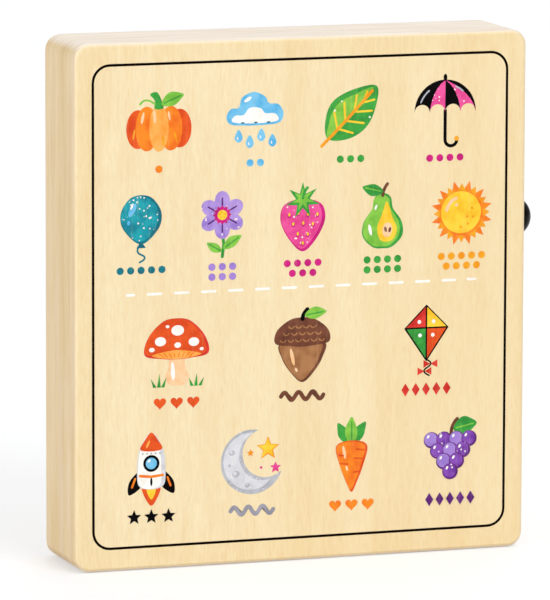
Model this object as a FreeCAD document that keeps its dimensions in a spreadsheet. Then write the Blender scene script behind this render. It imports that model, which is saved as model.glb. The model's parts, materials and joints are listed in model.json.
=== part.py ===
import FreeCAD, Part
import math
import os
import re
import Sketcher

# A wooden busy board with lights and switches, standing on its bottom edge.
# Millimetres. The printed cover faces -Y and the play side with the switches faces +Y.
# +Z is up, and +X is the edge with the power button.
# The origin is the middle of the bottom edge, where the board stands.

SIZES = {
    # Wooden case: a printed cover, a rear frame and a front frame, glued in layers
    "board_width": 180,
    "board_height": 200,
    "corner_radius": 6,
    "edge_rounding": 1.8,
    "seam_break": 0.15,
    "cover_thickness": 4,
    "rear_frame_depth": 19.6,
    "front_frame_depth": 15.4,
    "frame_wall": 15,
    "rim_width": 9,
    "opening_corner_radius": 14,
    "dowel_diameter": 6,
    "dowel_length": 20,
    "dowel_end_gap": 0.5,
    "dowel_inset": 8,
    "glue_gap": 0.05,
    # Play panel, let into the front frame and held by four countersunk wood screws
    "panel_thickness": 4,
    "panel_gap": 0.3,
    "panel_corner_radius": 5,
    "panel_screw_diameter": 3,
    "panel_screw_length": 12,
    "panel_screw_head": 6,
    "panel_screw_head_height": 1.6,
    "panel_screw_inset": 6.5,
    "screw_hole_play": 0.2,
    "pilot_play": 0.04,
    "pilot_extra_depth": 0.6,
    "screw_point_share": 0.1,
    "screw_recess_share": 0.6,
    "screw_recess_width": 0.7,
    "screw_recess_depth": 0.9,
    # Layout of the play side
    "column_inset": 42,
    "light_row_drop": 30,
    "toggle_row_drop": 70,
    "button_row_height": 40,
    "hole_play": 0.15,
    # Lights: clear-lens diodes in rings, soldered on one board
    "led_diameter": 8,
    "led_flange_diameter": 9,
    "led_flange_height": 1.2,
    "led_height": 11,
    "led_proud": 5,
    "light_inset": 30.5,
    "led_play": 0.1,
    "led_pin_diameter": 0.6,
    "led_pin_spacing": 2.54,
    "led_pin_tail": 1.2,
    "ring_diameter": 11.5,
    "ring_height": 1.6,
    "ring_wall": 0.8,
    "board_thickness": 1.6,
    "circuit_height": 18,
    "circuit_end": 10.5,
    "spacer_diameter": 5,
    "board_screw_diameter": 2,
    "board_screw_head": 3.8,
    "board_screw_head_height": 1.2,
    "board_screw_bite": 2.4,
    "chip_width": 10,
    "chip_height": 6,
    "chip_thickness": 2.2,
    # Toggle switches: metal bat levers in threaded bushings
    "toggle_body_height": 27,
    "toggle_body_width": 14,
    "toggle_body_depth": 16,
    "toggle_bushing_diameter": 11.8,
    "toggle_bushing_proud": 6.5,
    "toggle_nut_across": 15,
    "toggle_nut_height": 2.6,
    "toggle_pivot_height": 2.5,
    "toggle_ball_diameter": 7,
    "toggle_ball_play": 0.1,
    "toggle_lip_overlap": 0.6,
    "toggle_lip_thickness": 0.2,
    "toggle_mouth_depth": 1.6,
    "toggle_mouth_diameter": 8.4,
    "toggle_neck_diameter": 3.4,
    "toggle_tip_diameter": 6.4,
    "toggle_lever_length": 19,
    "toggle_stub_diameter": 3,
    "toggle_stub_length": 9,
    "toggle_stub_play": 2,
    "toggle_neck_length": 1,
    "toggle_throw": 24,
    # Rocker switches
    "rocker_body_height": 19.7,
    "rocker_body_width": 13.4,
    "rocker_body_depth": 16,
    "rocker_bezel_height": 22.5,
    "rocker_bezel_width": 16,
    "rocker_bezel_thickness": 2,
    "rocker_floor": 4,
    "rocker_length": 14.8,
    "rocker_width": 10.2,
    "rocker_side_play": 0.25,
    "rocker_end_play": 1.3,
    "rocker_pivot_depth": 3,
    "rocker_pin_diameter": 2.4,
    "rocker_pin_play": 0.05,
    "rocker_pin_length": 12,
    "rocker_end_height": 4,
    "rocker_valley_height": 2.6,
    "rocker_skirt_depth": 5.5,
    "rocker_skirt_half_length": 2.5,
    "rocker_shoulder_depth": 1,
    "rocker_end_draft": 0.4,
    "rocker_throw": 16,
    # Push buttons with a coil spring under the cap
    "push_flange_diameter": 20.5,
    "push_flange_thickness": 2,
    "push_barrel_diameter": 16,
    "push_barrel_depth": 17,
    "push_floor": 1.5,
    "push_cap_diameter": 12.6,
    "push_pressed_height": 2,
    "push_cap_crown": 2,
    "push_cap_play": 0.2,
    "push_lip_depth": 3,
    "push_collar_diameter": 14,
    "push_collar_thickness": 1.2,
    "push_collar_play": 0.1,
    "push_bore_diameter": 9.2,
    "push_roof_height": 1,
    "push_nut_across": 20,
    "push_nut_height": 3.5,
    "push_travel": 3,
    # Dimmer: a turning control with a fluted knob
    "dimmer_diameter": 17,
    "dimmer_depth": 9,
    "dimmer_floor": 1,
    "dimmer_bushing_diameter": 7,
    "dimmer_bushing_proud": 6,
    "dimmer_nut_across": 10,
    "dimmer_nut_height": 2,
    "dimmer_shaft_diameter": 6,
    "dimmer_shaft_proud": 12,
    "shaft_play": 0.05,
    "knob_diameter": 28,
    "knob_height": 15,
    "knob_gap": 0.6,
    "knob_recess_diameter": 14,
    "knob_recess_depth": 3,
    "knob_bushing_gap": 0.5,
    "knob_bevel": 1.5,
    "knob_flute_radius": 1.8,
    "knob_mark_width": 1.4,
    "knob_mark_length": 9,
    "knob_mark_depth": 0.6,
    "knob_mark_inset": 1,
    # Slide switch
    "slide_plate_length": 38,
    "slide_plate_height": 13,
    "slide_plate_thickness": 1,
    "slide_body_length": 24,
    "slide_body_height": 10.4,
    "slide_body_depth": 12,
    "slide_handle_length": 8,
    "slide_handle_width": 5.6,
    "slide_handle_proud": 6,
    "slide_foot_length": 12,
    "slide_foot_width": 8,
    "slide_foot_thickness": 2.4,
    "slide_play": 0.2,
    "slide_travel": 8,
    "slide_screw_diameter": 2.5,
    "slide_screw_head": 4.6,
    "slide_screw_head_height": 1,
    "slide_screw_length": 4.4,
    "slide_screw_inset": 3.4,
    # Power button: a black dome in a drilled hole in the right edge
    "power_height": 126.5,
    "power_diameter": 16,
    "power_proud": 7,
    "power_skin": 3.2,
    "power_play": 0.2,
    "power_collar_diameter": 17.6,
    "power_collar_thickness": 1.2,
    "power_bore_diameter": 9,
    "power_roof_height": 2,
    "power_stem_diameter": 3,
    "power_stem_length": 22,
    "power_travel": 3,
    "power_cup_diameter": 19.3,
    "power_cup_wall": 0.65,
    "power_notch_height": 21.2,
    "power_plate_height": 44,
    "power_plate_width": 18,
    "power_plate_thickness": 2,
    "power_screw_diameter": 2.5,
    "power_screw_head": 5,
    "power_screw_head_height": 1.4,
    "power_screw_length": 9,
    "power_screw_spacing": 36,
    "power_switch_side": 8.4,
    "power_switch_length": 12,
    # Coil springs under the buttons
    "spring_radius": 3.6,
    "spring_wire": 0.7,
    "spring_turns": 6,
    "spring_gap": 0.1,
    # Battery compartment, open at the bottom edge and closed by a screwed hatch
    "battery_diameter": 10.5,
    "battery_length": 44.5,
    "battery_nub_diameter": 3.8,
    "battery_nub_height": 0.8,
    "battery_pitch": 12,
    "battery_play": 0.4,
    "battery_box_wall": 1.6,
    "battery_box_flange": 1.5,
    "battery_spring_height": 6,
    "battery_spring_radius": 3.2,
    "battery_spring_turns": 4,
    "bridge_thickness": 0.5,
    "bridge_width": 8,
    "hatch_length": 44,
    "hatch_width": 16.8,
    "hatch_thickness": 2,
    "hatch_play": 0.15,
    "hatch_screw_spacing": 36,
    "hatch_screw_diameter": 2.6,
    "hatch_screw_head": 5,
    "hatch_screw_head_height": 1.3,
    "hatch_screw_length": 10,
    # Solder tabs and leads
    "tab_width": 4,
    "tab_thickness": 0.8,
    "tab_length": 5,
    "toggle_tab_spacing": 16,
    "rocker_tab_spacing": 12,
    "push_tab_spacing": 8,
    "dimmer_tab_spacing": 6,
    "slide_tab_near": 8.5,
    "slide_tab_far": 11.5,
    "power_tab_spacing": 5,
    "lead_diameter": 1.6,
    "lead_spacing": 2.4,
    "lead_bend": 3,
    "lead_depth": 30,
    "lead_shift": 5,
    "lead_jog": 10,
    "lead_row_drop": 5,
    "battery_lead_offset": 9,
}

DEPTH = "(cover_thickness + rear_frame_depth + front_frame_depth)"
PLAY_FACE = DEPTH + " / 2"
COVER_FACE = "-" + DEPTH + " / 2"
REAR_FRAME_Y = COVER_FACE + " + cover_thickness"
FRONT_FRAME_Y = REAR_FRAME_Y + " + rear_frame_depth"
MID_REAR_FRAME_Y = REAR_FRAME_Y + " + rear_frame_depth / 2"

LIGHT_ROW = "(board_height - light_row_drop)"
TOGGLE_ROW = "(board_height - toggle_row_drop)"
BUTTON_ROW = "button_row_height"
MIDDLE_ROW = "((" + TOGGLE_ROW + " + " + BUTTON_ROW + ") / 2)"
LEFT = "(column_inset - board_width / 2)"
CENTRE = "0"
RIGHT = "(board_width / 2 - column_inset)"
LIGHT_COUNT = 8
LIGHT_PITCH = f"((board_width - 2 * light_inset) / {LIGHT_COUNT - 1})"

# Turns from a piece's own axes to the board's.
# On the play side: x to the right as seen from there, y up, z out of the panel.
PLAY_SIDE = FreeCAD.Rotation(FreeCAD.Vector(0, 1, 1), 180)
# On the right edge: x towards the play side, y up, z out of the edge.
RIGHT_EDGE = FreeCAD.Rotation(FreeCAD.Vector(1, 1, 1), 120)
# Looking up at the bottom edge: z down, out of the edge.
BOTTOM_EDGE = FreeCAD.Rotation(FreeCAD.Vector(1, 0, 0), 180)
UNTURNED = FreeCAD.Rotation()

doc = FreeCAD.newDocument("BusyBoard")


def fill_sheet():
    table = doc.addObject("Spreadsheet::Sheet", "Sizes")
    for row, (name, value) in enumerate(SIZES.items(), start=1):
        table.set(f"A{row}", name)
        table.set(f"B{row}", str(value))
        table.setAlias(f"B{row}", name)
    doc.recompute()
    return table


sheet = fill_sheet()


def named(formula):
    """The formula with each size written as a cell of the sheet."""
    return re.sub(r"[a-z][a-z_]+", lambda word: cell_name(word.group()), formula)


def cell_name(word):
    if word in SIZES:
        return "Sizes." + word
    return word


def bind(item, setting, formula):
    item.setExpression(setting, named(formula))


def measure(formula):
    """The number that a formula gives with the sheet's present sizes."""
    return float(sheet.evalExpression(named(formula)))


def about(half, middle=""):
    """The low and high ends of a span that reaches half each way from the middle."""
    return (f"{middle} - {half}", f"{middle} + {half}")


# Solids made from primitives, each between a low and a high formula


def block(x_span, y_span, z_span):
    item = doc.addObject("Part::Box", "Block")
    sides = (("Length", "x", x_span), ("Width", "y", y_span), ("Height", "z", z_span))
    for side, axis, (low, high) in sides:
        bind(item, side, f"({high}) - ({low})")
        bind(item, f"Placement.Base.{axis}", low)
    return item


def stand(item, x, y, low, high):
    bind(item, "Height", f"({high}) - ({low})")
    bind(item, "Placement.Base.x", x)
    bind(item, "Placement.Base.y", y)
    bind(item, "Placement.Base.z", low)
    return item


def rod(diameter, low, high, x="0", y="0"):
    item = doc.addObject("Part::Cylinder", "Rod")
    bind(item, "Radius", f"({diameter}) / 2")
    return stand(item, x, y, low, high)


def cone(low_diameter, high_diameter, low, high, x="0", y="0"):
    item = doc.addObject("Part::Cone", "Cone")
    bind(item, "Radius1", f"({low_diameter}) / 2")
    bind(item, "Radius2", f"({high_diameter}) / 2")
    return stand(item, x, y, low, high)


def hexagon(across, low, high):
    item = doc.addObject("Part::Prism", "Hexagon")
    item.Polygon = 6
    bind(item, "Circumradius", f"({across}) / 2 / cos(30)")
    return stand(item, "0", "0", low, high)


def ball(diameter, height):
    item = doc.addObject("Part::Sphere", "Ball")
    bind(item, "Radius", f"({diameter}) / 2")
    bind(item, "Placement.Base.z", height)
    return item


def fuse(label, *pieces):
    item = doc.addObject("Part::MultiFuse", "Fuse")
    item.Shapes = list(pieces)
    item.Label = label
    return item


def cut(label, base, *tools):
    tool = tools[0]
    if len(tools) > 1:
        tool = fuse("tool", *tools)
    item = doc.addObject("Part::Cut", "Cut")
    item.Base = base
    item.Tool = tool
    item.Label = label
    return item


def common(label, first, second):
    item = doc.addObject("Part::MultiCommon", "Common")
    item.Shapes = [first, second]
    item.Label = label
    return item


def group(label, pieces):
    item = doc.addObject("Part::Compound", "Group")
    item.Links = list(pieces)
    item.Label = label
    return item


def place(item, turn, x, y, z):
    item.Placement = FreeCAD.Placement(FreeCAD.Vector(), turn)
    bind(item, "Placement.Base.x", x)
    bind(item, "Placement.Base.y", y)
    bind(item, "Placement.Base.z", z)
    return item


def on_play_side(item, across=CENTRE, up="0", turn=PLAY_SIDE):
    return place(item, turn, f"-({across})", PLAY_FACE, up)


def on_right_edge(item, turn=RIGHT_EDGE):
    return place(item, turn, "board_width / 2", MID_REAR_FRAME_Y, "power_height")


# Sketched bodies

PLANE_NORMAL = {"XY_Plane": 1, "XZ_Plane": -1, "YZ_Plane": 1}


def new_body(label):
    item = doc.addObject("PartDesign::Body", "Body")
    item.Label = label
    return item


def new_sketch(body, name, plane="XZ_Plane", along="0"):
    """A sketch on an origin plane, moved along that plane's positive axis."""
    sketch = body.newObject("Sketcher::SketchObject", name)
    origin_plane = [item for item in body.Origin.OriginFeatures if item.Role == plane][0]
    sketch.AttachmentSupport = (origin_plane, [""])
    sketch.MapMode = "FlatFace"
    bind(sketch, "AttachmentOffset.Base.z", f"{PLANE_NORMAL[plane]} * ({along})")
    return sketch


def hold(sketch, direction, element, point, formula):
    constraint = Sketcher.Constraint(direction, -1, 1, element, point, measure(formula))
    index = sketch.addConstraint(constraint)
    bind(sketch, f"Constraints[{index}]", formula)


def hold_point(sketch, element, point, x, y):
    hold(sketch, "DistanceX", element, point, x)
    hold(sketch, "DistanceY", element, point, y)


def add_outline(sketch, points):
    """A closed outline of straight lines through points, each an (x, y) pair of formulas."""
    corners = [FreeCAD.Vector(measure(x), measure(y), 0) for x, y in points]
    lines = []
    for start, end in zip(corners, corners[1:] + corners[:1]):
        lines.append(sketch.addGeometry(Part.LineSegment(start, end), False))
    for line, following in zip(lines, lines[1:] + lines[:1]):
        sketch.addConstraint(Sketcher.Constraint("Coincident", line, 2, following, 1))
    for line, (x, y) in zip(lines, points):
        hold_point(sketch, line, 1, x, y)


def add_rectangle(sketch, left, right, low, high):
    add_outline(sketch, [(left, low), (right, low), (right, high), (left, high)])


def add_circle(sketch, diameter, x, y):
    centre = FreeCAD.Vector(measure(x), measure(y), 0)
    upward = FreeCAD.Vector(0, 0, 1)
    circle = sketch.addGeometry(Part.Circle(centre, upward, measure(diameter) / 2), False)
    hold_point(sketch, circle, 3, x, y)
    constraint = Sketcher.Constraint("Diameter", circle, measure(diameter))
    index = sketch.addConstraint(constraint)
    bind(sketch, f"Constraints[{index}]", diameter)


def pad(body, sketch, length, direction=1):
    feature = body.newObject("PartDesign::Pad", sketch.Name + "Pad")
    feature.Profile = sketch
    bind(feature, "Length", length)
    feature.Reversed = direction != PLANE_NORMAL[plane_of(sketch)]
    doc.recompute()
    return feature


def pocket(body, sketch, length, direction=1):
    volume = body.Shape.Volume
    feature = body.newObject("PartDesign::Pocket", sketch.Name + "Pocket")
    feature.Profile = sketch
    bind(feature, "Length", length)
    feature.Reversed = direction == PLANE_NORMAL[plane_of(sketch)]
    doc.recompute()
    if body.Shape.Volume > volume - 0.01:
        raise RuntimeError(f"{sketch.Name} cuts nothing from {body.Label}")
    return feature


def plane_of(sketch):
    return sketch.AttachmentSupport[0][0].Role


def edges_where(body, test):
    tip = body.Tip
    names = [f"Edge{number}" for number, edge in enumerate(tip.Shape.Edges, start=1) if test(edge)]
    if not names:
        raise RuntimeError(f"no edge found on {body.Label}")
    return (tip, names)


def fillet(body, radius, test):
    edges = edges_where(body, test)
    feature = body.newObject("PartDesign::Fillet", "Fillet")
    feature.Base = edges
    bind(feature, "Radius", radius)
    doc.recompute()
    return feature


def chamfer(body, size, test):
    edges = edges_where(body, test)
    feature = body.newObject("PartDesign::Chamfer", "Chamfer")
    feature.Base = edges
    bind(feature, "Size", size)
    doc.recompute()
    return feature


def near(value, target):
    return abs(value - target) < 0.01


def runs_along_y(edge):
    box = edge.BoundBox
    return box.XLength < 0.01 and box.ZLength < 0.01


def outside(x, z, inset):
    """True for a point nearer to the board's outline than the inset."""
    half_width = measure("board_width") / 2
    height = measure("board_height")
    return abs(x) > half_width - inset or z < inset or z > height - inset


def outline_edge(y, inset="frame_wall / 3"):
    """A test for the edges of the board's outline that lie in the plane at y."""
    level = measure(y)
    reach = measure(inset)

    def test(edge):
        box = edge.BoundBox
        middle = edge.CenterOfMass
        return near(box.YMin, level) and near(box.YMax, level) and outside(middle.x, middle.z, reach)

    return test


def corner_edge(inset, deepest):
    """A test for edges along y whose distance from the outline lies between two insets."""
    shallow = measure(inset) - 0.01
    deep = measure(deepest) + 0.01

    def test(edge):
        middle = edge.CenterOfMass
        edge_of_ring = outside(middle.x, middle.z, deep) and not outside(middle.x, middle.z, shallow)
        return runs_along_y(edge) and edge_of_ring

    return test


def circle_edge(diameter, y):
    """A test for round edges of a diameter in the plane at y."""
    radius = measure(diameter) / 2
    level = measure(y)

    def test(edge):
        round_edge = hasattr(edge.Curve, "Radius") and near(edge.Curve.Radius, radius)
        return round_edge and near(edge.CenterOfMass.y, level)

    return test


# Wooden case

BOARD_SIDES = ("-board_width / 2", "board_width / 2", "0", "board_height")


def inset_rectangle(inset):
    return (
        f"-board_width / 2 + {inset}",
        f"board_width / 2 - {inset}",
        inset,
        f"board_height - {inset}",
    )


def four_corners(inset):
    left, right, low, high = inset_rectangle(inset)
    return [(left, low), (right, low), (right, high), (left, high)]


DOWEL_PLACES = four_corners("dowel_inset")
PANEL_SCREW_PLACES = four_corners("(rim_width + panel_gap + panel_screw_inset)")
DOWEL_HOLE = "dowel_diameter + 2 * glue_gap"
DOWEL_HOLE_DEPTH = "dowel_length / 2 + dowel_end_gap"


def board_layer(label, thickness, base_y):
    """One layer of the case, its outline rounded, from its own y = 0 to its thickness."""
    body = new_body(label)
    outline = new_sketch(body, "Outline")
    add_rectangle(outline, *BOARD_SIDES)
    pad(body, outline, thickness)
    fillet(body, "corner_radius", runs_along_y)
    bind(body, "Placement.Base.y", base_y)
    return body


def cut_opening(body, thickness):
    opening = new_sketch(body, "Opening")
    add_rectangle(opening, *inset_rectangle("frame_wall"))
    pocket(body, opening, thickness)
    fillet(body, "opening_corner_radius", corner_edge("frame_wall", "frame_wall"))


def cut_dowel_holes(body, face_y, direction):
    holes = new_sketch(body, "DowelHoles", along=face_y)
    for x, z in DOWEL_PLACES:
        add_circle(holes, DOWEL_HOLE, x, z)
    pocket(body, holes, DOWEL_HOLE_DEPTH, direction)


def make_printed_cover():
    body = board_layer("printed_cover", "cover_thickness", COVER_FACE)
    fillet(body, "edge_rounding", outline_edge("0"))
    chamfer(body, "seam_break", outline_edge("cover_thickness"))
    return body


BATTERY_BOX_HALF_X = "(battery_pitch / 2 + battery_diameter / 2 + battery_play + battery_box_wall)"
BATTERY_BOX_HALF_Y = "(battery_diameter / 2 + battery_play + battery_box_wall)"
FLANGE_LOW = "hatch_thickness"
FLANGE_HIGH = "(" + FLANGE_LOW + " + battery_box_flange)"
POWER_HOLE = "power_diameter + 2 * power_play"


def cut_battery_opening(body):
    middle = "rear_frame_depth / 2"
    opening = new_sketch(body, "BatteryOpening", "XY_Plane")
    half_x = f"({BATTERY_BOX_HALF_X} + hatch_play)"
    half_y = f"({BATTERY_BOX_HALF_Y} + hatch_play)"
    add_rectangle(opening, *about(half_x), *about(half_y, middle))
    pocket(body, opening, "frame_wall + pilot_extra_depth")
    seat = new_sketch(body, "HatchSeat", "XY_Plane")
    half_x = "(hatch_length / 2 + hatch_play)"
    half_y = "(hatch_width / 2 + hatch_play)"
    add_rectangle(seat, *about(half_x), *about(half_y, middle))
    pocket(body, seat, FLANGE_HIGH)
    pilots = new_sketch(body, "HatchPilots", "XY_Plane")
    for side in ("-", ""):
        add_circle(pilots, "hatch_screw_diameter + 2 * pilot_play", f"{side}hatch_screw_spacing / 2", middle)
    pocket(body, pilots, "hatch_screw_length + pilot_extra_depth")


def cut_power_opening(body):
    middle = "rear_frame_depth / 2"
    notch = new_sketch(body, "PowerNotch")
    half = "power_notch_height / 2"
    inner_wall = "board_width / 2 - frame_wall"
    add_rectangle(notch, f"{inner_wall} - 1", "board_width / 2 - power_skin", *about(half, "power_height"))
    pocket(body, notch, "rear_frame_depth")
    hole = new_sketch(body, "PowerHole", "YZ_Plane")
    add_circle(hole, POWER_HOLE, middle, "power_height")
    pocket(body, hole, "board_width")
    pilots = new_sketch(body, "PowerPilots", "YZ_Plane")
    for side in ("-", "+"):
        place_z = f"power_height {side} power_screw_spacing / 2"
        add_circle(pilots, "power_screw_diameter + 2 * pilot_play", middle, place_z)
    depth = "power_screw_length - power_plate_thickness + pilot_extra_depth"
    pocket(body, pilots, f"{inner_wall} + {depth}")


def make_rear_frame():
    body = board_layer("rear_frame", "rear_frame_depth", REAR_FRAME_Y)
    chamfer(body, "seam_break", outline_edge("0"))
    chamfer(body, "seam_break", outline_edge("rear_frame_depth"))
    cut_opening(body, "rear_frame_depth")
    cut_dowel_holes(body, "rear_frame_depth", -1)
    cut_battery_opening(body)
    cut_power_opening(body)
    return body


def make_front_frame():
    body = board_layer("front_frame", "front_frame_depth", FRONT_FRAME_Y)
    chamfer(body, "seam_break", outline_edge("0"))
    fillet(body, "edge_rounding", outline_edge("front_frame_depth"))
    cut_opening(body, "front_frame_depth")
    rebate = new_sketch(body, "PanelRebate", along="front_frame_depth")
    add_rectangle(rebate, *inset_rectangle("rim_width"))
    pocket(body, rebate, "panel_thickness", -1)
    fillet(body, "panel_corner_radius", corner_edge("rim_width", "rim_width"))
    cut_dowel_holes(body, "0", 1)
    pilots = new_sketch(body, "ScrewPilots", along="front_frame_depth")
    for x, z in PANEL_SCREW_PLACES:
        add_circle(pilots, "panel_screw_diameter + 2 * pilot_play", x, z)
    pocket(body, pilots, "panel_screw_length + pilot_extra_depth", -1)
    return body


def make_dowel_pins():
    pins = []
    for x, z in DOWEL_PLACES:
        pin = rod("dowel_diameter", "-dowel_length / 2", "dowel_length / 2")
        along_y = FreeCAD.Rotation(FreeCAD.Vector(1, 0, 0), -90)
        pins.append(place(group("dowel", [pin]), along_y, x, FRONT_FRAME_Y, z))
    return group("dowel_pins", pins)


# Play panel

RING_BARREL = "led_diameter + 2 * led_play + 2 * ring_wall"
LIGHT_PLACES = [f"(light_inset - board_width / 2 + {index} * {LIGHT_PITCH})" for index in range(LIGHT_COUNT)]
PANEL_SCREW_HOLE = "panel_screw_diameter + 2 * screw_hole_play"


def make_play_panel():
    body = new_body("play_panel")
    edge = "(rim_width + panel_gap)"
    outline = new_sketch(body, "Outline")
    add_rectangle(outline, *inset_rectangle(edge))
    pad(body, outline, "panel_thickness")
    fillet(body, "panel_corner_radius", runs_along_y)
    holes = new_sketch(body, "RoundHoles")
    for across in LIGHT_PLACES:
        add_circle(holes, f"{RING_BARREL} + 2 * hole_play", across, LIGHT_ROW)
    for across in (LEFT, CENTRE, RIGHT):
        add_circle(holes, "toggle_bushing_diameter + 2 * hole_play", across, TOGGLE_ROW)
    for across in (LEFT, RIGHT):
        add_circle(holes, "push_barrel_diameter + 2 * hole_play", across, BUTTON_ROW)
    add_circle(holes, "dimmer_bushing_diameter + 2 * hole_play", CENTRE, MIDDLE_ROW)
    for side in ("-", ""):
        hole = "slide_screw_diameter + 2 * pilot_play"
        add_circle(holes, hole, f"{side}{SLIDE_SCREW_X}", BUTTON_ROW)
    pocket(body, holes, "panel_thickness")
    windows = new_sketch(body, "Windows")
    for across in (LEFT, RIGHT):
        add_window(windows, across, MIDDLE_ROW, "rocker_body_width", "rocker_body_height")
    add_window(windows, CENTRE, BUTTON_ROW, "slide_body_length", "slide_body_height")
    pocket(body, windows, "panel_thickness")
    pilots = new_sketch(body, "BoardScrewPilots")
    for across in BOARD_SCREW_PLACES:
        add_circle(pilots, "board_screw_diameter + 2 * pilot_play", across, LIGHT_ROW)
    pocket(body, pilots, "board_screw_bite + pilot_extra_depth")
    screw_holes = new_sketch(body, "ScrewHoles")
    for x, z in PANEL_SCREW_PLACES:
        add_circle(screw_holes, PANEL_SCREW_HOLE, x, z)
    pocket(body, screw_holes, "panel_thickness")
    sink = "(panel_screw_head - panel_screw_diameter) / 2"
    chamfer(body, sink, circle_edge(PANEL_SCREW_HOLE, "panel_thickness"))
    bind(body, "Placement.Base.y", PLAY_FACE + " - panel_thickness")
    return body


def add_window(sketch, across, up, width, height):
    half_x = f"({width} / 2 + hole_play)"
    half_z = f"({height} / 2 + hole_play)"
    add_rectangle(sketch, *about(half_x, across), *about(half_z, up))


def screw(kind, length=None, sunk=True):
    """A cross-recessed screw, the top of its head at z = 0 and its point at -length."""
    diameter = f"{kind}_screw_diameter"
    head = f"{kind}_screw_head"
    head_height = f"{kind}_screw_head_height"
    length = length or f"{kind}_screw_length"
    shank = rod(diameter, f"-{length} + {diameter}", "0")
    tip = cone(f"screw_point_share * {diameter}", diameter, f"-{length}", f"-{length} + {diameter}")
    crown = cone(diameter, head, f"-{head_height}", "0") if sunk else rod(head, f"-{head_height}", "0")
    solid = fuse("screw solid", shank, tip, crown)
    long_half = f"{head} * screw_recess_share / 2"
    short_half = "screw_recess_width / 2"
    depth = ("-screw_recess_depth", "1")
    first = block(about(long_half), about(short_half), depth)
    second = block(about(short_half), about(long_half), depth)
    return cut("screw", solid, first, second)


def make_panel_screws():
    screws = []
    for x, z in PANEL_SCREW_PLACES:
        item = screw("panel")
        screws.append(on_play_side(item, f"-({x})", z))
    return group("panel_screws", screws)


# Lights and their circuit board

BOARD_FRONT = "(led_proud - led_height)"
BOARD_BACK = "(" + BOARD_FRONT + " - board_thickness)"
BOARD_SCREW_PLACES = (f"-3 * {LIGHT_PITCH}", f"3 * {LIGHT_PITCH}")
BOARD_SCREW_HOLE = "board_screw_diameter + 2 * screw_hole_play"


def make_light(number, across):
    dome_base = "(led_proud - led_diameter / 2)"
    pieces = [
        rod("led_diameter", BOARD_FRONT, dome_base),
        ball("led_diameter", dome_base),
        rod("led_flange_diameter", BOARD_FRONT, f"{BOARD_FRONT} + led_flange_height"),
    ]
    for side in ("-", ""):
        pin_x = f"{side}led_pin_spacing / 2"
        pieces.append(rod("led_pin_diameter", f"{BOARD_BACK} - led_pin_tail", BOARD_FRONT, pin_x))
    return on_play_side(fuse(f"light_{number}", *pieces), across, LIGHT_ROW)


def make_light_rings():
    rings = []
    for across in LIGHT_PLACES:
        flange = rod("ring_diameter", "0", "ring_height - ring_wall / 2")
        bevel_low = "ring_height - ring_wall / 2"
        crown = cone("ring_diameter", "ring_diameter - ring_wall", bevel_low, "ring_height")
        barrel = rod(RING_BARREL, f"{BOARD_FRONT} + led_flange_height + led_play", "0")
        bore = rod("led_diameter + 2 * led_play", f"{BOARD_FRONT} - 1", "ring_height + 1")
        ring = cut("ring", fuse("ring solid", flange, crown, barrel), bore)
        rings.append(on_play_side(ring, across, LIGHT_ROW))
    return group("light_rings", rings)


def make_circuit_board():
    half_length = "(board_width / 2 - light_inset + circuit_end)"
    half_height = "circuit_height / 2"
    slab = block(about(half_length), about(half_height), (BOARD_BACK, BOARD_FRONT))
    holes = []
    for across in LIGHT_PLACES:
        for side in ("-", "+"):
            pin_x = f"{across} {side} led_pin_spacing / 2"
            hole = "led_pin_diameter + 2 * led_play"
            holes.append(rod(hole, f"{BOARD_BACK} - 1", f"{BOARD_FRONT} + 1", pin_x))
    for across in BOARD_SCREW_PLACES:
        holes.append(rod(BOARD_SCREW_HOLE, f"{BOARD_BACK} - 1", f"{BOARD_FRONT} + 1", across))
    return on_play_side(cut("circuit_board", slab, *holes), CENTRE, LIGHT_ROW)


def make_control_chip():
    half_x = "chip_width / 2"
    half_y = "chip_height / 2"
    chip = block(about(half_x), about(half_y), (f"{BOARD_BACK} - chip_thickness", BOARD_BACK))
    return on_play_side(group("control_chip", [chip]), CENTRE, LIGHT_ROW)


def make_board_spacers():
    spacers = []
    for across in BOARD_SCREW_PLACES:
        solid = rod("spacer_diameter", BOARD_FRONT, "-panel_thickness")
        bore = rod(BOARD_SCREW_HOLE, f"{BOARD_FRONT} - 1", "-panel_thickness + 1")
        spacers.append(on_play_side(cut("spacer", solid, bore), across, LIGHT_ROW))
    return group("board_spacers", spacers)


def make_board_screws():
    screws = []
    length = f"(-panel_thickness + board_screw_bite - {BOARD_BACK} + board_screw_head_height)"
    for across in BOARD_SCREW_PLACES:
        item = screw("board", length, sunk=False)
        turn = PLAY_SIDE.multiply(FreeCAD.Rotation(FreeCAD.Vector(1, 0, 0), 180))
        head_y = f"{PLAY_FACE} + {BOARD_BACK} - board_screw_head_height"
        screws.append(place(item, turn, f"-({across})", head_y, LIGHT_ROW))
    return group("board_screws", screws)


# Toggle switches

TOGGLE_BACK = "(-panel_thickness - toggle_body_depth)"
TOGGLE_SOCKET = "(toggle_ball_diameter + 2 * toggle_ball_play)"
TOGGLE_LIP = "(toggle_ball_diameter - 2 * toggle_lip_overlap)"


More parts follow.
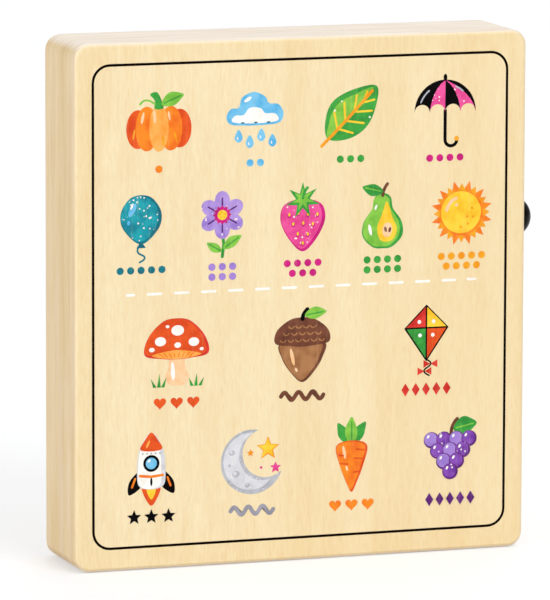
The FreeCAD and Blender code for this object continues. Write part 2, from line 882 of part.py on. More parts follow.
def make_toggle_switch(number, across):
    half_x = "toggle_body_width / 2"
    half_y = "toggle_body_height / 2"
    case = block(about(half_x), about(half_y), (TOGGLE_BACK, "-panel_thickness"))
    bushing = rod("toggle_bushing_diameter", "-panel_thickness", "toggle_bushing_proud")
    mouth_low = "toggle_bushing_proud - toggle_mouth_depth"
    socket = rod(TOGGLE_SOCKET, "-panel_thickness", f"{mouth_low} - toggle_lip_thickness")
    gate = rod(TOGGLE_LIP, "-panel_thickness", mouth_low)
    mouth = cone(TOGGLE_LIP, "toggle_mouth_diameter", mouth_low, "toggle_bushing_proud")
    swing = "(toggle_stub_length * sin(toggle_throw / 2) + toggle_stub_diameter)"
    room_low = "toggle_pivot_height - toggle_stub_length - toggle_stub_play"
    room = block(about("toggle_stub_diameter"), about(swing), (room_low, "-panel_thickness"))
    item = cut(f"toggle_switch_{number}", fuse("toggle case", case, bushing), socket, mouth, gate, room)
    return on_play_side(item, across, TOGGLE_ROW)


def make_toggle_lever(number, across):
    """The lever about its own pivot, tilted down to its off position."""
    neck_end = "toggle_ball_diameter / 2 + toggle_neck_length"
    tip_base = "toggle_lever_length - toggle_tip_diameter / 2"
    pieces = [
        ball("toggle_ball_diameter", "0"),
        rod("toggle_stub_diameter", "-toggle_stub_length", "0"),
        rod("toggle_neck_diameter", "0", neck_end),
        cone("toggle_neck_diameter", "toggle_tip_diameter", neck_end, tip_base),
        ball("toggle_tip_diameter", tip_base),
    ]
    tilt = FreeCAD.Rotation(FreeCAD.Vector(1, 0, 0), measure("toggle_throw / 2"))
    item = fuse(f"toggle_lever_{number}", *pieces)
    pivot_y = PLAY_FACE + " + toggle_pivot_height"
    return place(item, PLAY_SIDE.multiply(tilt), f"-({across})", pivot_y, TOGGLE_ROW)


def make_toggle_nuts():
    nuts = []
    for across in (LEFT, CENTRE, RIGHT):
        hole = rod("toggle_bushing_diameter + 2 * pilot_play", "-1", "toggle_nut_height + 1")
        nut = cut("nut", hexagon("toggle_nut_across", "0", "toggle_nut_height"), hole)
        nuts.append(on_play_side(nut, across, TOGGLE_ROW))
    return group("toggle_nuts", nuts)


# Rocker switches

ROCKER_PIVOT = "(-rocker_pivot_depth)"


def make_rocker_switch(number, across):
    half_x = "rocker_body_width / 2"
    half_y = "rocker_body_height / 2"
    case = block(about(half_x), about(half_y), ("-rocker_body_depth", "0"))
    rim_x = "rocker_bezel_width / 2"
    rim_y = "rocker_bezel_height / 2"
    bezel = block(about(rim_x), about(rim_y), ("0", "rocker_bezel_thickness"))
    room_x = "(rocker_width / 2 + rocker_side_play)"
    room_y = "(rocker_length / 2 + rocker_end_play)"
    room_z = ("-rocker_body_depth + rocker_floor", "rocker_bezel_thickness + 1")
    room = block(about(room_x), about(room_y), room_z)
    hole = "rocker_pin_diameter + 2 * rocker_pin_play"
    pin_hole = across_rod(hole, "rocker_pin_length + 2 * rocker_side_play", ROCKER_PIVOT)
    item = cut(f"rocker_switch_{number}", fuse("rocker case", case, bezel), room, pin_hole)
    return on_play_side(item, across, MIDDLE_ROW)


def across_rod(diameter, length, height):
    """A rod along the piece's x axis, centred at a height."""
    along_x = FreeCAD.Rotation(FreeCAD.Vector(0, 1, 0), 90)
    return place(rod(diameter, "0", length), along_x, f"-({length}) / 2", "0", height)


def make_rocker(number, across):
    """The rocker about its own pivot, its lower end pressed to its off position."""
    body = new_body("rocker profile")
    profile = new_sketch(body, "RockerProfile", "YZ_Plane", "-rocker_width / 2")
    top = "rocker_end_height + rocker_pivot_depth"
    shoulder = "rocker_pivot_depth - rocker_shoulder_depth"
    right_side = [
        ("rocker_length / 2", top),
        ("rocker_length / 2 - rocker_end_draft", shoulder),
        ("rocker_skirt_half_length", "rocker_pivot_depth - rocker_skirt_depth"),
    ]
    left_side = [(f"-({y})", z) for y, z in reversed(right_side)]
    valley = [("0", "rocker_valley_height + rocker_pivot_depth")]
    add_outline(profile, valley + right_side + left_side)
    pad(body, profile, "rocker_width")
    pin = across_rod("rocker_pin_diameter", "rocker_pin_length", "0")
    tilt = FreeCAD.Rotation(FreeCAD.Vector(1, 0, 0), measure("rocker_throw / 2"))
    item = fuse(f"rocker_{number}", body, pin)
    return place(item, PLAY_SIDE.multiply(tilt), f"-({across})", f"{PLAY_FACE} + {ROCKER_PIVOT}", MIDDLE_ROW)


# Springs


def arc_along(start, direction, end):
    """The arc that leaves start along a direction and reaches end."""
    chord = end - start
    along = FreeCAD.Vector(chord).normalize()
    sideways = direction - along * direction.dot(along)
    if sideways.Length < 1e-9:
        return Part.LineSegment(start, end).toShape()
    angle = direction.getAngle(chord)
    middle = (start + end) / 2 + sideways.normalize() * chord.Length / 2 * math.tan(angle / 2)
    return Part.Arc(start, middle, end).toShape()


def biarc(start, start_direction, end, end_direction):
    """Two arcs that leave start and reach end along the given directions."""
    chord = end - start
    both = start_direction + end_direction
    spread = 2 * (1 - start_direction.dot(end_direction))
    along = chord.dot(both)
    reach = (math.sqrt(along * along + spread * chord.dot(chord)) - along) / spread
    joint = (start + start_direction * reach + end - end_direction * reach) / 2
    first = arc_along(start, start_direction, joint)
    at_joint = first.tangentAt(first.LastParameter)
    return [first, arc_along(joint, at_joint, end)]


def round_pipe(path, diameter):
    """A round tube along a path."""
    first = path.OrderedEdges[0]
    start = first.valueAt(first.FirstParameter)
    section = Part.Circle(start, first.tangentAt(first.FirstParameter), diameter / 2)
    return path.makePipeShell([Part.Wire(section.toShape())], True, False)


def coil(label, radius, wire, turns, low, high):
    """A round-wire coil spring about the z axis, from z = low to z = high."""
    bottom = low + wire / 2
    rise = (high - low - wire) / turns
    steps = round(4 * turns)
    edges = []
    for step in range(steps):
        ends = []
        for quarter in (step, step + 1):
            angle = quarter * math.pi / 2
            height = bottom + rise * quarter / 4
            point = FreeCAD.Vector(radius * math.cos(angle), radius * math.sin(angle), height)
            slope = rise / (2 * math.pi)
            direction = FreeCAD.Vector(-radius * math.sin(angle), radius * math.cos(angle), slope)
            ends.append((point, direction.normalize()))
        edges.extend(biarc(*ends[0], *ends[1]))
    path = Part.Wire(edges)
    item = doc.addObject("Part::Feature", "Coil")
    item.Shape = round_pipe(path, wire)
    item.Label = label
    return item


def button_coil(label, low, high):
    sizes = (measure("spring_radius"), measure("spring_wire"), measure("spring_turns"))
    return coil(label, *sizes, low, high)


# Push buttons

PUSH_LIP = "(-push_lip_depth)"
PUSH_COLLAR_TOP = "(-push_lip_depth - push_collar_play)"
PUSH_CAP_LOW = "(-push_lip_depth - push_collar_play - push_collar_thickness)"
PUSH_CAP_TOP = "(push_flange_thickness + push_pressed_height + push_travel)"
PUSH_FLOOR_TOP = "(-push_barrel_depth + push_floor)"


def domed_cap(diameter, crown, low, top):
    """A cap with a spherical crown: a cylinder cut to a ball through its rim."""
    ball_radius = f"(({diameter}) * ({diameter}) / 4 + ({crown}) * ({crown})) / (2 * ({crown}))"
    return common("cap", rod(diameter, low, top), ball(f"2 * {ball_radius}", f"{top} - {ball_radius}"))


def make_push_switch(number, across):
    flange = rod("push_flange_diameter", "0", "push_flange_thickness")
    barrel = rod("push_barrel_diameter", "-push_barrel_depth", "0")
    throat = rod("push_cap_diameter + 2 * push_cap_play", PUSH_LIP, "push_flange_thickness + 1")
    chamber = rod("push_collar_diameter + 2 * push_cap_play", PUSH_FLOOR_TOP, PUSH_LIP)
    item = cut(f"push_switch_{number}", fuse("push case", flange, barrel), throat, chamber)
    return on_play_side(item, across, BUTTON_ROW)


def make_push_button(number, across):
    cap = domed_cap("push_cap_diameter", "push_cap_crown", PUSH_CAP_LOW, PUSH_CAP_TOP)
    collar = rod("push_collar_diameter", PUSH_CAP_LOW, PUSH_COLLAR_TOP)
    bore = rod("push_bore_diameter", f"{PUSH_CAP_LOW} - 1", "push_roof_height")
    item = cut(f"push_button_{number}", fuse("button solid", cap, collar), bore)
    return on_play_side(item, across, BUTTON_ROW)


def make_push_spring(number, across):
    low = measure(f"{PUSH_FLOOR_TOP} + spring_gap")
    high = measure("push_roof_height - spring_gap")
    return on_play_side(button_coil(f"push_spring_{number}", low, high), across, BUTTON_ROW)


def make_push_nuts():
    nuts = []
    top = "-panel_thickness"
    low = "-panel_thickness - push_nut_height"
    for across in (LEFT, RIGHT):
        hole = rod("push_barrel_diameter + 2 * pilot_play", f"{low} - 1", f"{top} + 1")
        nuts.append(on_play_side(cut("nut", hexagon("push_nut_across", low, top), hole), across, BUTTON_ROW))
    return group("push_nuts", nuts)


# Dimmer

DIMMER_BACK = "(-panel_thickness - dimmer_depth)"
SHAFT_LOW = "(" + DIMMER_BACK + " + dimmer_floor)"
KNOB_FLUTES = 12


def make_dimmer():
    can = rod("dimmer_diameter", DIMMER_BACK, "-panel_thickness")
    bushing = rod("dimmer_bushing_diameter", "-panel_thickness", "dimmer_bushing_proud")
    hole = "dimmer_shaft_diameter + 2 * shaft_play"
    bore = rod(hole, f"{SHAFT_LOW} - shaft_play", "dimmer_bushing_proud + 1")
    return on_play_side(cut("dimmer", fuse("dimmer case", can, bushing), bore), CENTRE, MIDDLE_ROW)


def make_dimmer_nut():
    hole = rod("dimmer_bushing_diameter + 2 * pilot_play", "-1", "dimmer_nut_height + 1")
    nut = cut("dimmer_nut", hexagon("dimmer_nut_across", "0", "dimmer_nut_height"), hole)
    return on_play_side(nut, CENTRE, MIDDLE_ROW)


def make_dimmer_shaft():
    shaft = rod("dimmer_shaft_diameter", SHAFT_LOW, "dimmer_shaft_proud")
    return on_play_side(group("dimmer_shaft", [shaft]), CENTRE, MIDDLE_ROW)


def make_dimmer_knob():
    top = "(knob_gap + knob_height)"
    grip = rod("knob_diameter", "knob_gap", f"{top} - knob_bevel")
    crown = cone("knob_diameter", "knob_diameter - 2 * knob_bevel", f"{top} - knob_bevel", top)
    recess = rod("knob_recess_diameter", "knob_gap - 1", "knob_gap + knob_recess_depth")
    room = "dimmer_bushing_diameter + 2 * knob_bushing_gap"
    bushing_room = rod(room, "knob_gap", "dimmer_bushing_proud + knob_gap")
    bore = rod("dimmer_shaft_diameter + 2 * pilot_play", "knob_gap", "dimmer_shaft_proud + pilot_play")
    half = "knob_mark_width / 2"
    rim = "knob_diameter / 2 - knob_bevel - knob_mark_inset"
    mark_depth = (f"{top} - knob_mark_depth", f"{top} + 1")
    mark = block(about(half), (f"{rim} - knob_mark_length", rim), mark_depth)
    flutes = []
    reach = "(knob_diameter / 2 + knob_flute_radius / 2)"
    for index in range(KNOB_FLUTES):
        angle = (index + 0.5) * 360 / KNOB_FLUTES
        x = f"{reach} * cos({angle})"
        y = f"{reach} * sin({angle})"
        flutes.append(rod("2 * knob_flute_radius", "knob_gap - 1", f"{top} + 1", x, y))
    knob = cut("dimmer_knob", fuse("knob solid", grip, crown), recess, bushing_room, bore, mark, *flutes)
    return on_play_side(knob, CENTRE, MIDDLE_ROW)


# Slide switch

SLIDE_SCREW_X = "(slide_plate_length / 2 - slide_screw_inset)"
SLIDE_FOOT_TOP = "(-slide_play)"
SLIDE_FOOT_LOW = "(-slide_play - slide_foot_thickness)"


def make_slide_switch():
    half_x = "slide_plate_length / 2"
    half_y = "slide_plate_height / 2"
    plate = block(about(half_x), about(half_y), ("0", "slide_plate_thickness"))
    half_x = "slide_body_length / 2"
    half_y = "slide_body_height / 2"
    case = block(about(half_x), about(half_y), ("-slide_body_depth", "0"))
    room_x = "(slide_foot_length / 2 + slide_travel / 2 + slide_play)"
    room_y = "(slide_foot_width / 2 + slide_play)"
    room = block(about(room_x), about(room_y), (f"{SLIDE_FOOT_LOW} - slide_play", "0"))
    gate_x = "(slide_handle_length / 2 + slide_travel / 2 + slide_play)"
    gate_y = "(slide_handle_width / 2 + slide_play)"
    gate = block(about(gate_x), about(gate_y), ("-1", "slide_plate_thickness + 1"))
    holes = []
    for side in ("-", ""):
        hole = "slide_screw_diameter + 2 * screw_hole_play"
        holes.append(rod(hole, "-1", "slide_plate_thickness + 1", f"{side}{SLIDE_SCREW_X}"))
    item = cut("slide_switch", fuse("slide case", plate, case), room, gate, *holes)
    return on_play_side(item, CENTRE, BUTTON_ROW)


def make_slide_handle():
    """The handle at the left end of its travel."""
    half_x = "slide_foot_length / 2"
    half_y = "slide_foot_width / 2"
    foot = block(about(half_x), about(half_y), (SLIDE_FOOT_LOW, SLIDE_FOOT_TOP))
    half_x = "slide_handle_length / 2"
    half_y = "slide_handle_width / 2"
    top = "slide_plate_thickness + slide_handle_proud"
    grip = block(about(half_x), about(half_y), (SLIDE_FOOT_LOW, top))
    return on_play_side(fuse("slide_handle", foot, grip), "-slide_travel / 2", BUTTON_ROW)


def make_slide_screws():
    screws = []
    head_top = "slide_plate_thickness + slide_screw_head_height"
    for side in ("-", ""):
        item = screw("slide", sunk=False)
        x = f"{side}{SLIDE_SCREW_X}"
        screws.append(place(item, PLAY_SIDE, x, f"{PLAY_FACE} + {head_top}", BUTTON_ROW))
    return group("slide_screws", screws)


# Power button

POWER_COLLAR_TOP = "(-power_skin - push_collar_play)"
POWER_CAP_LOW = "(-power_skin - push_collar_play - power_collar_thickness)"
POWER_SWITCH_TOP = "(-frame_wall - power_plate_thickness)"
POWER_SWITCH_LOW = "(" + POWER_SWITCH_TOP + " - power_switch_length)"


def make_power_button():
    cap = domed_cap("power_diameter", "power_proud", POWER_CAP_LOW, "power_proud")
    collar = rod("power_collar_diameter", POWER_CAP_LOW, POWER_COLLAR_TOP)
    bore = rod("power_bore_diameter", f"{POWER_CAP_LOW} - 1", "power_roof_height")
    stem = rod("power_stem_diameter", "power_roof_height - power_stem_length", "power_roof_height")
    shell = cut("power cap shell", fuse("power cap solid", cap, collar), bore)
    return on_right_edge(fuse("power_button", shell, stem))


def make_power_housing():
    cup = rod("power_cup_diameter", "-frame_wall", "-power_skin")
    half_x = "power_plate_width / 2"
    half_y = "power_plate_height / 2"
    plate = block(about(half_x), about(half_y), (POWER_SWITCH_TOP, "-frame_wall"))
    chamber = rod("power_cup_diameter - 2 * power_cup_wall", "-frame_wall", "-power_skin + 1")
    stem_hole = rod("power_stem_diameter + 2 * power_play", f"{POWER_SWITCH_TOP} - 1", "-frame_wall + 1")
    holes = []
    for side in ("-", ""):
        hole = "power_screw_diameter + 2 * screw_hole_play"
        place_y = f"{side}power_screw_spacing / 2"
        holes.append(rod(hole, f"{POWER_SWITCH_TOP} - 1", "-frame_wall + 1", "0", place_y))
    item = cut("power_housing", fuse("power case", cup, plate), chamber, stem_hole, *holes)
    return on_right_edge(item)


def make_power_switch():
    half = "power_switch_side / 2"
    case = block(about(half), about(half), (POWER_SWITCH_LOW, POWER_SWITCH_TOP))
    bore_low = "power_roof_height - power_stem_length - power_travel - power_play"
    bore = rod("power_stem_diameter + 2 * power_play", bore_low, f"{POWER_SWITCH_TOP} + 1")
    return on_right_edge(cut("power_switch", case, bore))


def make_power_spring():
    low = measure("-frame_wall + spring_gap")
    high = measure("power_roof_height - spring_gap")
    return on_right_edge(button_coil("power_spring", low, high))


def make_power_screws():
    screws = []
    turn = RIGHT_EDGE.multiply(FreeCAD.Rotation(FreeCAD.Vector(1, 0, 0), 180))
    head_x = f"board_width / 2 + {POWER_SWITCH_TOP} - power_screw_head_height"
    length = "(power_screw_length + power_screw_head_height)"
    for side in ("-", "+"):
        item = screw("power", length, sunk=False)
        place_z = f"power_height {side} power_screw_spacing / 2"
        screws.append(place(item, turn, head_x, MID_REAR_FRAME_Y, place_z))
    return group("power_screws", screws)


# Battery compartment

BRIDGE_LOW = FLANGE_LOW
BATTERY_LOW = "(" + FLANGE_LOW + " + bridge_thickness)"
BATTERY_TOP = "(" + BATTERY_LOW + " + battery_length)"
BATTERY_ROOF = "(" + BATTERY_TOP + " + battery_spring_height)"
BATTERY_BOX_TOP = "(" + BATTERY_ROOF + " + battery_box_wall)"


def in_rear_frame(item):
    return place(item, UNTURNED, "0", MID_REAR_FRAME_Y, "0")


def make_battery_box():
    half_x = BATTERY_BOX_HALF_X
    half_y = BATTERY_BOX_HALF_Y
    tube = block(about(half_x), about(half_y), (FLANGE_LOW, BATTERY_BOX_TOP))
    flange_x = "hatch_length / 2"
    flange_y = "hatch_width / 2"
    flange = block(about(flange_x), about(flange_y), (FLANGE_LOW, FLANGE_HIGH))
    room_x = f"({BATTERY_BOX_HALF_X} - battery_box_wall)"
    room_y = f"({BATTERY_BOX_HALF_Y} - battery_box_wall)"
    room = block(about(room_x), about(room_y), (f"{FLANGE_LOW} - 1", BATTERY_ROOF))
    holes = []
    for side in ("-", ""):
        hole = "hatch_screw_diameter + 2 * screw_hole_play"
        holes.append(rod(hole, f"{FLANGE_LOW} - 1", f"{FLANGE_HIGH} + 1", f"{side}hatch_screw_spacing / 2"))
    return in_rear_frame(cut("battery_box", fuse("box solid", tube, flange), room, *holes))


def make_battery(number, side):
    """A battery, its nub up on the left and down on the right."""
    shoulder = "battery_length - battery_nub_height"
    can = rod("battery_diameter", "0", shoulder)
    nub = rod("battery_nub_diameter", shoulder, "battery_length")
    item = fuse(f"battery_{number}", can, nub)
    x = f"{side}battery_pitch / 2"
    if side == "-":
        return place(item, UNTURNED, x, MID_REAR_FRAME_Y, BATTERY_LOW)
    return place(item, BOTTOM_EDGE, x, MID_REAR_FRAME_Y, BATTERY_TOP)


def make_battery_springs():
    springs = []
    low = measure(f"{BATTERY_TOP} + spring_gap")
    high = measure(f"{BATTERY_ROOF} - spring_gap")
    radius = measure("battery_spring_radius")
    for side in ("-", ""):
        item = coil("spring", radius, measure("spring_wire"), measure("battery_spring_turns"), low, high)
        springs.append(place(item, UNTURNED, f"{side}battery_pitch / 2", MID_REAR_FRAME_Y, "0"))
    return group("battery_springs", springs)


def make_battery_bridge():
    half_x = "(battery_pitch / 2 + bridge_width / 2)"
    half_y = "bridge_width / 2"
    item = block(about(half_x), about(half_y), (BRIDGE_LOW, BATTERY_LOW))
    return in_rear_frame(group("battery_bridge", [item]))


def make_battery_hatch():
    half_x = "hatch_length / 2"
    half_y = "hatch_width / 2"
    plate = block(about(half_x), about(half_y), ("0", FLANGE_LOW))
    holes = []
    for side in ("-", ""):
        x = f"{side}hatch_screw_spacing / 2"
        bore = "hatch_screw_diameter + 2 * screw_hole_play"
        sink = "hatch_screw_head + 2 * screw_hole_play"
        holes.append(rod(bore, "-1", f"{FLANGE_LOW} + 1", x))
        holes.append(cone(sink, bore, "0", "hatch_screw_head_height", x))
    return in_rear_frame(cut("battery_hatch", plate, *holes))


def make_hatch_screws():
    screws = []
    for side in ("-", ""):
        item = screw("hatch")
        x = f"{side}hatch_screw_spacing / 2"
        screws.append(place(item, BOTTOM_EDGE, x, MID_REAR_FRAME_Y, "0"))
    return group("hatch_screws", screws)


# Solder tabs and leads


def tab(across, up, back):
    """A solder tab behind a switch, x across and y up from the panel's own axes."""
    half_x = "tab_width / 2"
    half_y = "tab_thickness / 2"
    spans = (about(half_x, across), about(half_y, up))
    solid = block(*spans, (f"{back} - tab_length", back))
    return on_play_side(group("tab", [solid]))


# Each row: the switch's place across and up, its back, its tabs' spacing and its leads' shift
SWITCH_TABS = (
    (LEFT, TOGGLE_ROW, TOGGLE_BACK, "toggle_tab_spacing", "0"),
    (CENTRE, TOGGLE_ROW, TOGGLE_BACK, "toggle_tab_spacing", "0"),
    (RIGHT, TOGGLE_ROW, TOGGLE_BACK, "toggle_tab_spacing", "0"),
    (LEFT, MIDDLE_ROW, "(-rocker_body_depth)", "rocker_tab_spacing", "lead_shift"),
    (RIGHT, MIDDLE_ROW, "(-rocker_body_depth)", "rocker_tab_spacing", "lead_shift"),
    (CENTRE, MIDDLE_ROW, DIMMER_BACK, "dimmer_tab_spacing", "lead_shift"),
    (LEFT, BUTTON_ROW, "(-push_barrel_depth)", "push_tab_spacing", "-lead_shift"),
    (RIGHT, BUTTON_ROW, "(-push_barrel_depth)", "push_tab_spacing", "-lead_shift"),
)
SLIDE_TABS = ("-slide_tab_far", "-slide_tab_near")
SLIDE_LANES = ("-battery_lead_offset - 2 * lead_spacing", "-battery_lead_offset - lead_spacing")
POWER_TABS = ("-", "+")
POWER_TAB_MIDDLE = "((" + POWER_SWITCH_TOP + " + " + POWER_SWITCH_LOW + ") / 2)"


def power_tab(side):
    """A solder tab on top of the power switch, its leads going up."""
    half_x = "tab_width / 4"
    half_z = "tab_thickness / 2"
    z = f"({POWER_TAB_MIDDLE} {side} power_tab_spacing / 2)"
    low = "power_switch_side / 2"
    solid = block(about(half_x), (low, f"{low} + tab_length"), about(half_z, z))
    return on_right_edge(group("tab", [solid]))


def make_solder_tabs():
    tabs = []
    for across, up, back, spacing, _ in SWITCH_TABS:
        for side in ("+", "-"):
            tabs.append(tab(across, f"{up} {side} {spacing} / 2", back))
    for across in SLIDE_TABS:
        half_x = "tab_thickness / 2"
        spans = (about(half_x, across), about("tab_width / 2"))
        solid = block(*spans, ("-slide_body_depth - tab_width", "-slide_body_depth"))
        tabs.append(on_play_side(group("tab", [solid]), CENTRE, BUTTON_ROW))
    for side in POWER_TABS:
        tabs.append(power_tab(side))
    return group("solder_tabs", tabs)


def rounded_path(points, radius):
    """Straight runs through the points, joined by tangent arcs of one radius."""
    edges = []
    start = points[0]
    for before, corner, after in zip(points, points[1:], points[2:]):
        coming = (corner - before).normalize()
        going = (after - corner).normalize()
        trim = radius * math.tan(coming.getAngle(going) / 2)
        arc_start = corner - coming * trim
        arc_end = corner + going * trim
        edges.append(Part.LineSegment(start, arc_start).toShape())
        edges.append(arc_along(arc_start, coming, arc_end))
        start = arc_end
    edges.append(Part.LineSegment(start, points[-1]).toShape())
    return Part.Wire(edges)


def lead(points):
    """A lead through points given as formulas in the play side's own axes."""
    corners = [FreeCAD.Vector(*(measure(value) for value in point)) for point in points]
    path = rounded_path(corners, measure("lead_bend"))
    item = doc.addObject("Part::Feature", "Lead")
    item.Shape = round_pipe(path, measure("lead_diameter"))
    return on_play_side(item)


LEAD_ROW = "(" + LIGHT_ROW + " - lead_row_drop)"


def make_wiring_harness():
    leads = []
    for across, up, back, spacing, shift in SWITCH_TABS:
        for side, mirror in (("+", "-"), ("-", "+")):
            x = f"{across} {mirror} lead_spacing / 2"
            lane = f"{x} + {shift}"
            y = f"{up} {side} {spacing} / 2"
            points = [(x, y, f"{back} - tab_length"), (x, y, "-lead_depth")]
            if shift != "0":
                points.append((lane, f"{y} + lead_jog", "-lead_depth"))
            points.append((lane, LEAD_ROW, "-lead_depth"))
            points.append((lane, LEAD_ROW, BOARD_BACK))
            leads.append(lead(points))
    for x, lane in zip(SLIDE_TABS, SLIDE_LANES):
        tab_middle = "-slide_body_depth - tab_width / 2"
        bend = f"{BUTTON_ROW} + tab_width / 2 + 2 * lead_jog"
        points = [
            (x, f"{BUTTON_ROW} + tab_width / 2", tab_middle),
            (x, bend, tab_middle),
            (lane, f"{bend} + lead_jog", "-lead_depth"),
            (lane, LEAD_ROW, "-lead_depth"),
            (lane, LEAD_ROW, BOARD_BACK),
        ]
        leads.append(lead(points))
    mid_frame = "(-front_frame_depth - rear_frame_depth / 2)"
    for side in POWER_TABS:
        x = f"-(board_width / 2 + {POWER_TAB_MIDDLE} {side} power_tab_spacing / 2)"
        y = "power_height + power_switch_side / 2 + tab_length"
        leads.append(lead([(x, y, mid_frame), (x, LEAD_ROW, mid_frame), (x, LEAD_ROW, BOARD_BACK)]))
    return group("wiring_harness", leads)


def make_battery_leads():
    leads = []
    mid_frame = "(-front_frame_depth - rear_frame_depth / 2)"
    row = f"{LIGHT_ROW} + lead_row_drop"
    for side in ("-", ""):
        x = f"{side}battery_pitch / 2"
        lane = f"{side}battery_lead_offset"
        points = [
            (x, BATTERY_BOX_TOP, mid_frame),
            (x, f"{BATTERY_BOX_TOP} + lead_jog", mid_frame),
            (lane, f"{BATTERY_BOX_TOP} + 2 * lead_jog", mid_frame),
            (lane, row, mid_frame),
            (lane, row, BOARD_BACK),
        ]
        leads.append(lead(points))
    return group("battery_leads", leads)


def make_all():
    parts = [
        make_printed_cover(),
        make_rear_frame(),
        make_front_frame(),
        make_dowel_pins(),
        make_play_panel(),
        make_panel_screws(),
        make_circuit_board(),
        make_control_chip(),
        make_board_spacers(),
        make_board_screws(),
        make_light_rings(),
        make_toggle_nuts(),
        make_push_nuts(),
        make_dimmer(),
        make_dimmer_nut(),
        make_dimmer_shaft(),
        make_dimmer_knob(),
        make_slide_switch(),
        make_slide_handle(),
        make_slide_screws(),
        make_power_button(),
        make_power_housing(),
        make_power_switch(),
        make_power_spring(),
        make_power_screws(),
        make_battery_box(),
        make_battery(1, "-"),
        make_battery(2, ""),
        make_battery_springs(),
        make_battery_bridge(),
        make_battery_hatch(),
        make_hatch_screws(),
        make_solder_tabs(),
        make_wiring_harness(),
        make_battery_leads(),
    ]
    for number, across in enumerate(LIGHT_PLACES, start=1):
        parts.append(make_light(number, across))
    for number, across in enumerate((LEFT, CENTRE, RIGHT), start=1):
        parts.append(make_toggle_switch(number, across))
        parts.append(make_toggle_lever(number, across))
    for number, across in enumerate((LEFT, RIGHT), start=1):
        parts.append(make_rocker_switch(number, across))
        parts.append(make_rocker(number, across))
        parts.append(make_push_switch(number, across))
        parts.append(make_push_button(number, across))
        parts.append(make_push_spring(number, across))
    doc.recompute()
    return parts


def check(parts):
    for item in doc.Objects:
        if "Invalid" in item.State or "Error" in item.State:
            raise RuntimeError(f"{item.Name} ({item.Label}) failed: {item.State}")
    for item in parts:
        if item.Shape.isNull() or not item.Shape.isValid():
            raise RuntimeError(f"{item.Label} has no valid shape")


def export(parts):
    os.makedirs("parts", exist_ok=True)
    for item in parts:
        item.Shape.exportStep(f"parts/{item.Label}.step")
        print(item.Label, len(item.Shape.Solids), round(item.Shape.Volume, 1))


pieces = make_all()
check(pieces)
export(pieces)
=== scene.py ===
import json
import math

import bpy
from mathutils import Matrix, Vector


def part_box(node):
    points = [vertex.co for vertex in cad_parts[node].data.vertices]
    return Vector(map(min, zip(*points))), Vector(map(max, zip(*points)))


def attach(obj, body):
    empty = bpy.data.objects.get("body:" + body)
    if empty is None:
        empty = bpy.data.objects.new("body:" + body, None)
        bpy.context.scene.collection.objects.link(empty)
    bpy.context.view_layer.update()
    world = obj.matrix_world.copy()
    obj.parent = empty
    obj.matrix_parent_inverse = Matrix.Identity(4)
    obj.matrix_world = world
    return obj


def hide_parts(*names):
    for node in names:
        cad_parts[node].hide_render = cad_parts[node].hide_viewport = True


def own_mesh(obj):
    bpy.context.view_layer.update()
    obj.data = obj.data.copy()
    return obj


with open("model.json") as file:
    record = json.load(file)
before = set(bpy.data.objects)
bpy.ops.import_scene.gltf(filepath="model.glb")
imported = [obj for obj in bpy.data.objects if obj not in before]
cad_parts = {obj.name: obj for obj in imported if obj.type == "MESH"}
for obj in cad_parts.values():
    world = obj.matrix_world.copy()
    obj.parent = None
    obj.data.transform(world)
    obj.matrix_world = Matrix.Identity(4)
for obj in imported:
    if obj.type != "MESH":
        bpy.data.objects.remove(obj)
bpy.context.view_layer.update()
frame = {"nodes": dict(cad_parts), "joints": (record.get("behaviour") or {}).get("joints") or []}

# The looks of a wooden busy board: its woods, its printing, its switches and its lights.
# Metres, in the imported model's own axes: the printed cover faces -Y, the play side faces +Y.

MM = 0.001

COVER_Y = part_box("printed_cover")[0].y
PLAY_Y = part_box("play_panel")[1].y
BOARD_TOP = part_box("printed_cover")[1].z / MM

# The border line on the cover, in millimetres: its middle, size, corners and width

PRINT_X = -0.4
PRINT_Z = 100.3
PRINT_WIDE = 164.8
PRINT_TALL = 182.9
PRINT_CORNER = 6.6
LINE = 0.99

# Every print, in millimetres: how far the lowest layer stands out, how far each layer stands
# out over the one below, and how thick it is, with a share of its own lift on top

INK_LIFT = 0.02
LAYER_LIFT = 0.006
INK_THICKNESS = 0.03
DEPTH_SHARE = 1.5


def colour(code):
    """A colour from its screen code, such as F6DDA8."""
    channels = []
    for start in (0, 2, 4):
        value = int(code[start:start + 2], 16) / 255
        channels.append(value / 12.92 if value <= 0.04045 else ((value + 0.055) / 1.055) ** 2.4)
    return (*channels, 1.0)


def dimmed(code, share, more=0.0):
    """A colour whose channels are a share of another's, with a little more of each."""
    return tuple(channel * share + more for channel in colour(code)[:3]) + (1.0,)


# Shader maths


class Wire:
    """A shader socket that is written in sums as a plain number is."""

    def __init__(self, finish, socket):
        self.finish = finish
        self.socket = socket

    def __add__(self, other):
        return self.finish.maths("ADD", self, other)

    def __sub__(self, other):
        return self.finish.maths("SUBTRACT", self, other)

    def __rsub__(self, other):
        return self.finish.maths("SUBTRACT", other, self)

    def __mul__(self, other):
        if isinstance(other, tuple):
            return self.finish.node("ShaderNodeVectorMath", {"operation": "MULTIPLY"}, {0: self, 1: other})
        return self.finish.maths("MULTIPLY", self, other)

    __radd__ = __add__
    __rmul__ = __mul__

    def size(self):
        return self.finish.maths("ABSOLUTE", self, 0.0)

    def over(self, low, high):
        """0 below low, 1 above high and a soft step between them."""
        settings = {"interpolation_type": "SMOOTHSTEP"}
        values = {"Value": self, "From Min": low, "From Max": high}
        return self.finish.node("ShaderNodeMapRange", settings, values)

    def under(self, low, high):
        return 1 - self.over(low, high)


